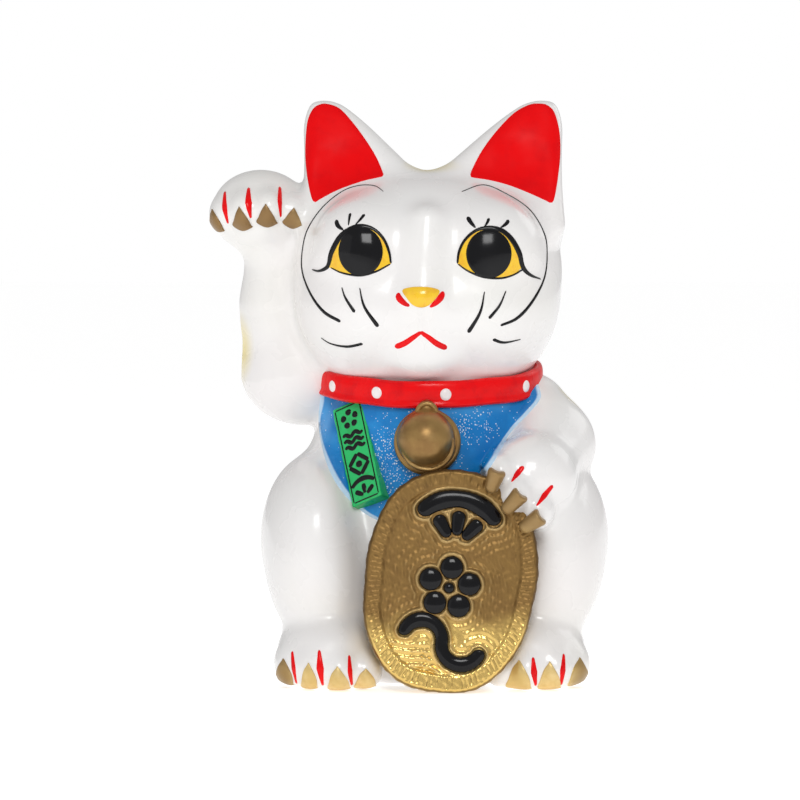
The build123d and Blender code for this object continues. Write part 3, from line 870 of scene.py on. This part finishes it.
RIGHT_EAR = ((-41.3, 207.5), (-43.6, 205.9), (-45.4, 202.0), (-46.1, 196.0), (-46.2, 188.0), (-45.3, 180.0),
             (-43.9, 173.9), (-42.6, 172.0), (-40.4, 173.3), (-34.0, 176.6), (-25.5, 179.6), (-19.4, 181.0),
             (-17.9, 181.6), (-18.3, 183.4), (-20.6, 188.6), (-24.6, 195.0), (-29.4, 201.4), (-34.0, 206.2),
             (-38.6, 207.8))
LEFT_EAR = ((38.6, 207.9), (41.4, 207.3), (44.0, 204.6), (45.7, 198.0), (46.0, 190.0), (45.0, 181.0),
            (43.5, 173.4), (42.3, 171.8), (40.0, 172.8), (34.0, 175.5), (27.0, 178.2), (20.0, 180.0),
            (14.2, 180.9), (13.2, 181.6), (13.8, 183.8), (17.4, 190.6), (22.6, 197.6), (29.0, 204.2),
            (34.6, 207.4))
ears = [patch(RIGHT_EAR, 0.25, rings=16, count=110, middle=(-34.6, 190.0)),
        patch(LEFT_EAR, 0.25, rings=16, count=110, middle=(33.0, 190.0))]
piece("ear_paint", join_up([face_front(f) for f in ears]), "ear_enamel")


# ------------------------------------------------------------------ paws
def claw(left, tip, right, bulge=0.9, sag=0.6):
    """A painted claw: a pointed arch over a slightly bowed foot."""
    left, tip, right = vec(*left), vec(*tip), vec(*right)
    out = []
    for a, b in ((left, tip), (tip, right)):
        d = b - a
        n = vec(-d[1], d[0]) / np.hypot(*d)
        for share, swell in ((0, 0), (0.3, 0.7), (0.65, 1), (0.93, 0.25)):
            out.append(a + share * d + n * bulge * swell)
    out += [right, (left + right) / 2 - vec(0, sag)]
    return out


def claw_set(name, claws, node, far=-44.0, **shape):
    forms = [face_front(patch(claw(*c, **shape), 0.35, 0.35, far=far)) for c in claws]
    piece(name, join_up(forms), "claw_gold", node)


# Claws: left end, tip and right end.
claw_set("right_foot_claw_paint",
         (((-56.4, 1.6), (-53.2, 10.9), (-49.8, 1.2)), ((-46.8, 0.9), (-44.2, 10.3), (-41.2, 0.9)),
          ((-37.4, 0.7), (-34.0, 9.4), (-29.6, 0.7)), ((-28.2, 0.8), (-24.0, 8.2), (-20.6, 1.4))),
         "right_foot_claws")
claw_set("left_foot_claw_paint",
         (((25.4, 1.4), (30.0, 11.4), (34.2, 0.9)), ((36.6, 0.9), (40.8, 10.8), (44.8, 0.9)),
          ((47.4, 0.9), (51.6, 11.4), (55.2, 1.6))), "left_foot_claws")
claw_set("raised_paw_claw_paint",
         (((-80.6, 164.6), (-79.6, 169.6), (-75.2, 161.8)), ((-72.0, 163.8), (-69.6, 170.6), (-65.0, 163.2)),
          ((-63.4, 165.0), (-60.0, 171.6), (-56.0, 164.6)), ((-54.2, 164.8), (-50.0, 170.2), (-47.2, 163.8))),
         "raised_paw_claws", far=-12.0, bulge=0.3, sag=1.6)

# Red strokes between the claws: places from the top down, then widths.
PAW_STROKES = (
    (((-75.2, 176.2), (-75.0, 170.4), (-73.8, 164.2)), (0.9, 2.5, 0.7)),
    (((-66.4, 177.6), (-66.2, 171.6), (-65.4, 166.2)), (1.0, 2.8, 0.7)),
    (((-55.2, 177.9), (-55.0, 171.6), (-54.7, 166.6)), (1.0, 2.7, 0.7)),
    (((-50.2, 13.8), (-49.5, 7.4), (-48.6, 1.8)), (0.9, 2.5, 0.8)),
    (((-40.5, 14.9), (-40.0, 7.8), (-39.2, 1.8)), (0.9, 3.0, 0.8)),
    (((-29.9, 13.1), (-29.5, 7.2), (-28.9, 1.8)), (0.9, 2.7, 0.8)),
    (((34.8, 12.6), (35.2, 7.3), (35.9, 1.9)), (0.9, 2.8, 0.8)),
    (((45.8, 13.4), (45.4, 7.8), (44.8, 1.9)), (0.9, 2.5, 0.8)),
    (((31.6, 79.6), (29.4, 77.0), (27.0, 74.0)), (1.8, 2.2, 0.6)),
    (((42.0, 72.8), (39.2, 69.6), (35.8, 65.6)), (1.5, 2.2, 0.6)),
)
piece("paw_strokes", join_up([face_front(stroke(p, w)) for p, w in PAW_STROKES]), "red_enamel")

KNOBS = (((20.3, -59.6, 72.6), (21.9, -61.2, 77.4)), ((26.0, -61.2, 65.2), (29.9, -63.0, 69.6)),
         ((32.3, -60.6, 58.6), (36.8, -62.2, 61.8)))


def knobs(p):
    """Three claws of the resting paw, flaring out over the coin's edge, each with a hollowed end."""
    f = np.full(len(p), 1e3)
    for root, end in KNOBS:
        root, end = vec(*root), vec(*end)
        line = (end - root) / np.linalg.norm(end - root)
        one = limb(p, root, end, 2.5, 3.2)
        one = smax(one, (p - end) @ line - 1.2, 0.9)
        scoop, reach = end + line * 3.9, vec(0, 5, 0)
        one = smax(one, -limb(p, scoop - reach, scoop + reach, 3.0, 3.0), 0.8)
        f = smin(f, one, 0.8)
    return f


def sculpted(name, field, low, high, step, material, *nodes):
    points, quads, normals = surface_nets(field, low, high, step)
    return piece(name, (points, quads), material, *nodes, normals=normals)


sculpted("resting_paw_claw_knobs", knobs, (12, -68, 52), (46, -50, 86), 0.55, "claw_gold",
         "resting_paw_claws")

# ------------------------------------------------------------------ bib, collar and bell
BIB = ((-39.4, 107.5), (-41.0, 100.0), (-41.6, 92.0), (-39.9, 82.8), (-35.8, 73.6), (-29.6, 65.6),
       (-22.0, 59.9), (-12.0, 57.5), (-1.0, 62.0), (9.0, 68.5), (17.0, 75.5), (23.2, 84.0), (28.6, 91.0),
       (34.0, 96.4), (38.4, 101.4), (38.6, 104.4), (36.4, 107.0), (24.0, 105.5), (11.0, 103.4),
       (-2.0, 102.8), (-16.0, 103.6), (-28.0, 106.0))


def bib():
    """The chest bib, a low relief with a rounded edge. It keeps each point's nearness to its edge."""
    count, rings = ((220, 34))
    form = face_front(patch(BIB, 0.9, 0.0, rings=rings, count=count, middle=(-3.0, 86.0)))
    obj = piece("bib_paint", form, "blue_enamel", "bib")
    near = np.append(np.repeat(ring_shares(rings), count), 0)
    layer = obj.data.attributes.new("edge", "FLOAT", "POINT")
    layer.data.foreach_set("value", near.astype(np.float32))


bib()

COLLAR_MIDDLE, COLLAR_RADII, COLLAR_HALF = vec(-1.5, -4.5, 108.5), (41.3, 36.8), 4.9
COLLAR_TILT = math.radians(7.5)


def collar_place(angle, out, up):
    """A point round the collar: out from its ellipse and up from its middle, on the tilted plane."""
    c, s = np.cos(angle), np.sin(angle)
    n = np.stack([c / COLLAR_RADII[0], s / COLLAR_RADII[1]], -1)
    n /= np.linalg.norm(n, axis=-1)[..., None]
    x = COLLAR_RADII[0] * c + n[..., 0] * out
    y = COLLAR_RADII[1] * s + n[..., 1] * out
    return COLLAR_MIDDLE + np.stack([x, y * math.cos(COLLAR_TILT),
                                     y * math.sin(COLLAR_TILT) + up * math.cos(COLLAR_TILT)], -1)


def collar_band():
    """A band with a soft bulge and a ridge along its lower edge."""
    count, outer_rows = 220, 23
    front = np.linspace(-COLLAR_HALF, COLLAR_HALF, outer_rows)
    up = np.concatenate([front, [COLLAR_HALF - 0.6, -COLLAR_HALF + 0.6]])
    ease = np.clip(1 - (front / COLLAR_HALF) ** 4, 0, 1) ** 0.5
    ridge = 0.7 * np.exp(-((front + 3.7) / 0.9) ** 2)
    out = np.concatenate([-1.2 + 1.5 * ease + ridge, [-3.6, -3.6]])
    angles = np.linspace(0, 2 * math.pi, count, endpoint=False)
    sway = 0.25 * np.sin(5 * angles + 1) + 0.2 * np.sin(11 * angles)
    points = []
    for row, (o, u) in enumerate(zip(out, up)):
        points.append(collar_place(angles, np.full(count, o), u + sway * (0.6 if row < outer_rows else 0)))
    return np.concatenate(points), grid_faces(len(up), count, loop_cols=True, loop_rows=True)


def dome(place, radii, low, high, rings, count, power=1.0):
    """A dome from one height to another. place(u, v, h) gives points from offsets across, up and out."""
    angles = np.linspace(0, 2 * math.pi, count, endpoint=False)
    rows = []
    for k in range(rings):
        t = k / rings * math.pi / 2
        share = math.cos(t)
        rows.append(place(radii[0] * share * np.cos(angles), radii[1] * share * np.sin(angles),
                          np.full(count, low + (high - low) * math.sin(t) ** power)))
    rows.append(place(np.zeros(1), np.zeros(1), np.full(1, high)))
    faces = grid_faces(rings, count, loop_cols=True)
    faces += fan(np.arange((rings - 1) * count, rings * count), rings * count)
    return np.concatenate(rows), faces


outward(piece("collar_band", collar_band(), "red_enamel", "collar"))
DOT_ANGLES = (-147.0, -117.0, -82.0, -33.0, 48.0, 90.0, 132.0)


def collar_dot(number, degrees):
    turn = math.radians(degrees)
    radius = math.hypot(COLLAR_RADII[0] * math.sin(turn), COLLAR_RADII[1] * math.cos(turn))
    size = 1.95 + 0.12 * math.sin(7 * number)

    def place(u, v, h):
        return collar_place(turn + u / radius, h + 0.3, v + 0.2)

    return dome(place, (size, size * 1.08), -0.15, 0.6, 6, 28)


dots = [collar_dot(number, degrees) for number, degrees in enumerate(DOT_ANGLES)]
outward(piece("collar_dots", join_up(dots), "white_enamel", "collar_studs"))


def ring_field(p, centre, major, minor):
    """A ring that faces the front."""
    q = p - vec(*centre)
    return np.hypot(np.hypot(q[:, 0], q[:, 2]) - major, q[:, 1]) - minor


def bell(p):
    """A pellet bell in relief: a ball, a rim round it, a lip across its lower half and a shoulder on top."""
    f = ellipsoid(p, (-2.9, -45.0, 88.3), (10.3, 10.9, 10.2))
    f = smin(f, ring_field(p, (-2.3, -43.8, 87.2), 10.6, 1.3), 0.7)
    lip = smax(ring_field(p, (-2.2, -48.6, 86.6), 8.9, 0.8), p[:, 2] - 86.5 - 0.25 * (p[:, 0] + 2.5), 1.2)
    f = smin(f, lip, 0.7)
    return smin(f, limb(p, (-2.5, -42.5, 92.5), (-2.5, -42.0, 99.0), 7.4, 3.2), 2.0)


def bell_arch(p):
    f = smax(ring_field(p, (-2.5, -44.6, 97.6), 3.3, 0.95), 96.6 - p[:, 2], 0.4)
    return smin(f, limb(p, (-5.6, -44.4, 97.0), (0.6, -44.4, 97.0), 0.8, 0.8), 0.5)


sculpted("bell_ball", bell, (-18, -60, 70), (14, -30, 106), 0.55, "gold_paint", "bell")
sculpted("bell_arch", bell_arch, (-10, -50, 92), (6, -38, 106), 0.4, "gold_paint", "bell_loop")


# ------------------------------------------------------------------ coin and plaque
class Face:
    """A flat local frame: across, up and out from a point."""

    def __init__(self, origin, across, out, turn=0.0):
        self.origin = vec(*origin)
        self.out = vec(*out) / np.linalg.norm(out)
        x = vec(*across) - self.out * (vec(*across) @ self.out)
        x /= np.linalg.norm(x)
        y = np.cross(self.out, x)
        c, s = math.cos(turn), math.sin(turn)
        self.across, self.up = c * x + s * y, c * y - s * x

    def at(self, u, v, h):
        u, v, h = np.broadcast_arrays(u, v, h)
        return self.origin + u[..., None] * self.across + v[..., None] * self.up + h[..., None] * self.out


def arc(middle, radius, start, size, count=24):
    a = np.radians(np.linspace(start, start + size, count))
    return np.column_stack([middle[0] + radius * np.cos(a), middle[1] + radius * np.sin(a)])


def spoke(middle, inner, outer, angle, count=2):
    """Points along a line outwards from a middle, at an angle in degrees."""
    return np.linspace(arc(middle, inner, angle, 0, 1)[0], arc(middle, outer, angle, 0, 1)[0], count)


def raised_line(face, points, widths, base, height, across=9, sink=0.3, pitch=0.5):
    """A domed brush stroke with rounded ends on a face."""
    total = run_length(points)
    rows = max(7, int(total / pitch))
    centre = spline(points, rows)
    along = np.gradient(centre, axis=0)
    along /= np.maximum(length(along), 1e-9)[:, None]
    side = np.column_stack([-along[:, 1], along[:, 0]])
    share = np.linspace(0, 1, rows)
    half = np.interp(share, np.linspace(0, 1, len(widths)), widths) / 2
    ends = np.minimum(share, share[::-1]) * total
    half = half * np.sqrt(np.clip(1 - (1 - np.clip(ends / half, 0, 1)) ** 2, 0.003, 1))
    u = np.sin(np.linspace(-math.pi / 2, math.pi / 2, across))
    flat = centre[:, None] + side[:, None] * (half[:, None] * u)[:, :, None]
    swell = (np.clip(1 - u**2, 0, 1)[None] ** 0.35) * np.clip(ends / 0.6, 0, 1)[:, None] ** 0.5
    lift = base - sink + (height + sink) * swell
    return face.at(flat[..., 0], flat[..., 1], lift).reshape(-1, 3), grid_faces(rows, across)


def raised_disc(face, middle, radius, base, height, sink=0.3):
    def place(u, v, h):
        return face.at(middle[0] + u, middle[1] + v, h)

    return dome(place, (radius, radius), base - sink, base + height, 7, 36, power=0.7)


COIN_LEAN, COIN_TURN = math.radians(7), math.radians(8)
coin_face = Face((5.6, -61.0, 39.4), (math.cos(COIN_TURN), 0, -math.sin(COIN_TURN)),
                 (0, -math.cos(COIN_LEAN), math.sin(COIN_LEAN)))
COIN_HALF, COIN_POWER, COIN_RIM, COIN_FIELD, COIN_DEPTH = (30.1, 39.2), 2.35, 5.9, -1.0, 12.0
FAN, BLOSSOM, PETAL_DISTANCE, WAVE, WAVE_V = (0.0, 12.0), (0.0, -2.5), 7.2, 7.0, -21.8
coin_lines = [(arc(FAN, 17, 35, 110), (5.4, 7.0, 6.2, 6.8, 5.6))]
coin_lines += [(spoke(FAN, 4, 13, a, 6), (3.8, 4.8, 5.6)) for a in (52, 90, 128)]
coin_lines += [(np.vstack([arc((-WAVE, WAVE_V), WAVE, 176, -172), arc((WAVE, WAVE_V), WAVE, 184, 172)]),
                (4.4, 5.8, 4.8, 5.0, 5.8, 4.6))]
coin_discs = [(BLOSSOM, 1.9)]
coin_discs += [((BLOSSOM[0] + PETAL_DISTANCE * math.cos(a), BLOSSOM[1] + PETAL_DISTANCE * math.sin(a)), 4.1)
               for a in np.radians(90 + 72 * np.arange(5))]


def emblem_distance(u, v):
    """Distance from the coin's ornament, across its face."""
    d = np.full(u.shape, 1e3)
    for points, widths in coin_lines:
        samples = spline(points, 40)
        half = np.interp(np.linspace(0, 1, 40), np.linspace(0, 1, len(widths)), widths) / 2
        inset = np.minimum(np.linspace(0, 1, 40), np.linspace(1, 0, 40)) * run_length(points)
        for (x, y), h, e in zip(samples, half, inset):
            if e >= h - 0.8:
                d = np.minimum(d, np.hypot(u - x, v - y) - h)
    for (x, y), r in coin_discs:
        d = np.minimum(d, np.hypot(u - x, v - y) - r)
    return d


def ramp(x, low, high):
    t = np.clip((x - low) / (high - low), 0, 1)
    return t * t * (3 - 2 * t)


def coin_relief(u, v, d, run):
    """The height of the coin's face, from its place, its distance from the edge and its run round it."""
    inner = ramp(d, COIN_RIM - 0.7, COIN_RIM + 0.9)
    h = COIN_FIELD * inner
    h = h - 1.1 * np.clip(1 - d / 1.5, 0, 1) ** 2.2
    rim = ramp(d, 0.9, 2.2 + 0.8 * np.sin(run * 0.9)) * (1 - ramp(d, COIN_RIM - 0.9, COIN_RIM + 0.2))
    wobble = np.sin(run * 0.71 + 2 * np.sin(run * 0.13)) + 0.6 * np.sin(run * 1.9 + d * 0.5)
    cuts = np.clip(np.sin(2 * math.pi * run / 1.9 + 0.7 * wobble), 0, 1) ** 3
    h = h - 0.42 * rim * cuts * ramp(wobble, -2.4, -0.4)
    e = emblem_distance(u, v)
    lip = np.exp(-((e - 0.75) / 0.5) ** 2)
    fading = np.exp(-np.clip(e, 0, 99) / 6.0) * ramp(e, 1.0, 2.2)
    h = h + inner * (0.75 * lip + 0.26 * np.cos(2 * math.pi * (e - 0.75) / 2.7) * fading)
    low = ramp(-v, 20, 27) * inner * ramp(e, 1.2, 2.4)
    h = h + low * 0.32 * np.sin(2 * math.pi * (v + 0.9 * np.sin(u / 5.5) + 0.4 * np.sin(u / 2.3)) / 2.5)
    dents = 0.07 * np.sin(u * 1.3 + 2 * np.sin(v * 0.7)) * np.sin(v * 1.1)
    return h + dents + 0.05 * np.sin(2.9 * u + 1.3 * v)


def coin_body():
    rings, count = ((120, 520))
    angles = np.linspace(0, 2 * math.pi, count, endpoint=False)
    c, s = np.abs(np.cos(angles)), np.abs(np.sin(angles))
    radius = ((c / COIN_HALF[0]) ** COIN_POWER + (s / COIN_HALF[1]) ** COIN_POWER) ** (-1 / COIN_POWER)
    radius = radius + 0.3 * np.sin(3 * angles + 0.6) + 0.16 * np.sin(9 * angles)
    edge = np.column_stack([radius * np.cos(angles), radius * np.sin(angles)])
    run = np.concatenate([[0], np.cumsum(length(np.diff(edge, axis=0)))])
    crowding = math.pi / 2 * 0.86  # brings the rings closer together towards the rim
    shares = np.sin(np.linspace(0.0, 1, rings + 1)[1:] * crowding) / math.sin(crowding)
    u = shares[:, None] * edge[None, :, 0]
    v = shares[:, None] * edge[None, :, 1]
    d = (1 - shares)[:, None] * radius[None] * 0.985
    h = coin_relief(u, v, d, np.broadcast_to(run, u.shape))
    top = coin_face.at(u, v, h).reshape(-1, 3)
    level = h - COIN_FIELD * ramp(d, COIN_RIM - 0.7, COIN_RIM + 0.9)
    # how high each point of the face stands: the bronze paint turns low values into painted shade and high
    # ones into painted highlight
    relief = list(np.clip(0.45 + level / 1.6, 0, 1).ravel())
    walls = []
    depths = np.linspace(1.1, COIN_DEPTH, 14)[1:]
    for depth in depths:
        swell = 1 + 0.006 * np.sin(depth * 0.9) + 0.004 * np.sin(run * 1.1 + depth * 0.3)
        walls.append(coin_face.at(edge[:, 0] * swell, edge[:, 1] * swell, np.full(count, -depth)))
        # the sides get a low value, which the bronze paint darkens as painted shade
        relief += [0.22] * count
    middle = coin_face.at(vec(0.0), vec(0.0), vec(float(h[0].mean())))
    back = coin_face.at(vec(0.0), vec(0.0), vec(-COIN_DEPTH))
    points = np.concatenate([top] + walls + [middle, back])
    relief += [0.4, 0.3]
    points[:, 2] = np.maximum(points[:, 2], 0.15)
    rows = rings + len(depths)
    faces = [f[::-1] for f in grid_faces(rows, count, loop_cols=True)]
    faces += fan(np.arange(count), rows * count)
    faces += [f[::-1] for f in fan(np.arange((rows - 1) * count, rows * count), rows * count + 1)]
    obj = piece("coin_body", (points, faces), "bronze_paint", "coin")
    if len(obj.data.vertices) == len(relief):
        layer = obj.data.attributes.new("relief", "FLOAT", "POINT")
        layer.data.foreach_set("value", np.array(relief, np.float32))
    outward(obj)


coin_body()
emblem = [raised_line(coin_face, p, w, COIN_FIELD, 1.25) for p, w in coin_lines]
emblem += [raised_disc(coin_face, m, r, COIN_FIELD, 1.3) for m, r in coin_discs]
outward(piece("coin_ornament", join_up(emblem), "black_enamel", "coin_emblem"))

PLAQUE_SIZE, PLAQUE_DEPTH, FACING = (12.5, 38.5), 6.5, math.radians(33)
plaque_face = Face((-27.5, -35.2, 83.0), (math.cos(FACING), -math.sin(FACING), 0),
                   (-math.sin(FACING), -math.cos(FACING), math.sin(math.radians(18))), math.radians(24))


def slab(face, size, depth, corner=0.6, bevel=0.35):
    """A plate with rounded corners, a worn bevel and slightly uneven sides."""
    half = np.array(size) / 2
    ring = []
    for sx, sy, start in ((1, 1, 0), (-1, 1, 90), (-1, -1, 180), (1, -1, 270)):
        ring.append(arc((sx * (half[0] - corner), sy * (half[1] - corner)), corner, start, 90, 7))
    ring = np.concatenate(ring)
    fine = []
    for a, b in zip(ring, np.roll(ring, -1, axis=0)):
        steps = max(1, int(np.hypot(*(b - a)) / 1.5))
        fine += [a + (b - a) * k / steps for k in range(steps)]
    ring = np.array(fine)
    ring[:, 0] += 0.12 * np.sin(ring[:, 1] * 0.9 + 1) * np.sign(ring[:, 0])
    levels = [(share, 0.0) for share in (0.05, 0.35, 0.6, 0.85, 1 - bevel / half[0])]
    levels += [(1 - 0.35 * bevel / half[0], -0.1), (1.0, -bevel)]
    levels += [(1.0, -t) for t in np.linspace(bevel + 0.4, depth, 6)]
    rows = []
    for share, h in levels:
        inset = (1 - share) * half[0]
        scale = (half - inset) / half if share > 0.84 else vec(share, share)
        rows.append(face.at(ring[:, 0] * scale[0], ring[:, 1] * scale[1], np.full(len(ring), h)))
    rows += [face.at(vec(0.0), vec(0.0), vec(0.0)), face.at(vec(0.0), vec(0.0), vec(-depth))]
    n, count = len(levels), len(ring)
    faces = grid_faces(n, count, loop_cols=True) + fan(np.arange(count), n * count)
    faces += fan(np.arange((n - 1) * count, n * count), n * count + 1)
    return np.concatenate(rows), faces


outward(piece("plaque_slab", slab(plaque_face, PLAQUE_SIZE, PLAQUE_DEPTH), "green_enamel", "plaque"))


def plaque_ornament():
    """A border line and four plain motifs: a blossom, waves, a lozenge and a fan."""
    hx, hy = PLAQUE_SIZE[0] / 2 - 1.05, PLAQUE_SIZE[1] / 2 - 1.05
    corners = np.array([(-hx, -hy), (hx, -hy), (hx, hy), (-hx, hy), (-hx, -hy)])
    lines = [(np.linspace(a, b, 12), (0.5, 0.55, 0.5)) for a, b in zip(corners, corners[1:])]
    lines += [(spoke((0, 13.3), 1.2, 3.9, 90 + 72 * k), (1.5, 2.9, 2.8)) for k in range(5)]
    for up in (7.3, 4.9, 2.5):
        x = np.linspace(-4.3, 4.3, 15)
        lines.append((np.column_stack([x, up + 0.6 * np.sin(x * 1.5)]), (1.2, 1.8, 1.6, 1.8, 1.1)))
    lozenge = np.array([(0, -0.4), (4.2, -4.6), (0, -8.8), (-4.2, -4.6), (0, -0.4)])
    lines += [(np.linspace(a, b, 5), (1.6, 1.9, 1.6)) for a, b in zip(lozenge, lozenge[1:])]
    lines += [(np.array([(-1.5, -4.6), (1.5, -4.6)]), (2.2, 2.9, 2.2))]
    lines += [(arc((0, -17.0), 6.6, 42, 96), (1.5, 2.2, 1.5))]
    lines += [(spoke((0, -17.0), 0.8, 4.9, a), (1.2, 2.0, 1.8)) for a in (36, 90, 144)]
    marks = [raised_line(plaque_face, p, w, 0.0, 0.22, across=7, sink=0.12, pitch=0.35) for p, w in lines]
    return join_up(marks)


outward(piece("plaque_ornament", plaque_ornament(), "black_enamel"))

plug = nodes["base_plug"]
plug.data.materials.clear()
plug.data.materials.append(MATERIALS["plug_rubber"])


# ------------------------------------------------------------------ floor, light and camera
def studio():
    floor_mesh = bpy.data.meshes.new("floor")
    floor_mesh.from_pydata([(-6, -6, 0), (6, -6, 0), (6, 6, 0), (-6, 6, 0)], [], [(0, 1, 2, 3)])
    floor = bpy.data.objects.new("floor", floor_mesh)
    bpy.context.scene.collection.objects.link(floor)
    paint = Paint("floor", (0.90, 0.90, 0.90), 0.8, Specular_IOR_Level=0.1)
    paint.shader.inputs["Emission Color"].default_value = (1, 1, 1, 1)
    paint.shader.inputs["Emission Strength"].default_value = 0.56
    floor_mesh.materials.append(paint.material)
    world = bpy.data.worlds.new("studio")
    world.use_nodes = True
    tree = world.node_tree
    tree.nodes["Background"].inputs["Color"].default_value = (1, 1, 1, 1)
    tree.nodes["Background"].inputs["Strength"].default_value = 0.48
    seen = tree.nodes.new("ShaderNodeBackground")
    seen.inputs["Color"].default_value = (1, 1, 1, 1)
    path = tree.nodes.new("ShaderNodeLightPath")
    mix = tree.nodes.new("ShaderNodeMixShader")
    tree.links.new(path.outputs["Is Camera Ray"], mix.inputs["Fac"])
    tree.links.new(tree.nodes["Background"].outputs[0], mix.inputs[1])
    tree.links.new(seen.outputs[0], mix.inputs[2])
    tree.links.new(mix.outputs[0], tree.nodes["World Output"].inputs["Surface"])
    bpy.context.scene.world = world
    target = Vector((-0.005, -0.03, 0.11))
    lights = (("key", (0.04, -0.95, 0.70), 0.34, 3.5), ("fill", (-1.1, -0.8, 0.5), 1.0, 0.9),
              ("rim", (0.7, 0.5, 0.6), 0.5, 0.8))
    for name, place, size, power in lights:
        light = bpy.data.lights.new(name, "AREA")
        light.size = size
        light.energy = power
        obj = bpy.data.objects.new(name, light)
        obj.location = place
        obj.rotation_euler = (target - Vector(place)).to_track_quat("-Z", "Y").to_euler()
        bpy.context.scene.collection.objects.link(obj)
    bpy.context.scene.view_settings.view_transform = "Standard"


def camera():
    """Three degrees above level, straight at the front."""
    target = Vector((-12.0, -5.0, 100.1)) * MM
    distance, rise, seen = 1.5, math.radians(3), 291.4 * MM
    data = bpy.data.cameras.new("camera")
    data.sensor_width = 36
    data.lens = data.sensor_width * distance / seen
    obj = bpy.data.objects.new("camera", data)
    obj.location = target + Vector((0, -math.cos(rise), math.sin(rise))) * distance
    obj.rotation_euler = (math.pi / 2 - rise, 0, 0)
    bpy.context.scene.collection.objects.link(obj)
    bpy.context.scene.camera = obj


studio()
camera()
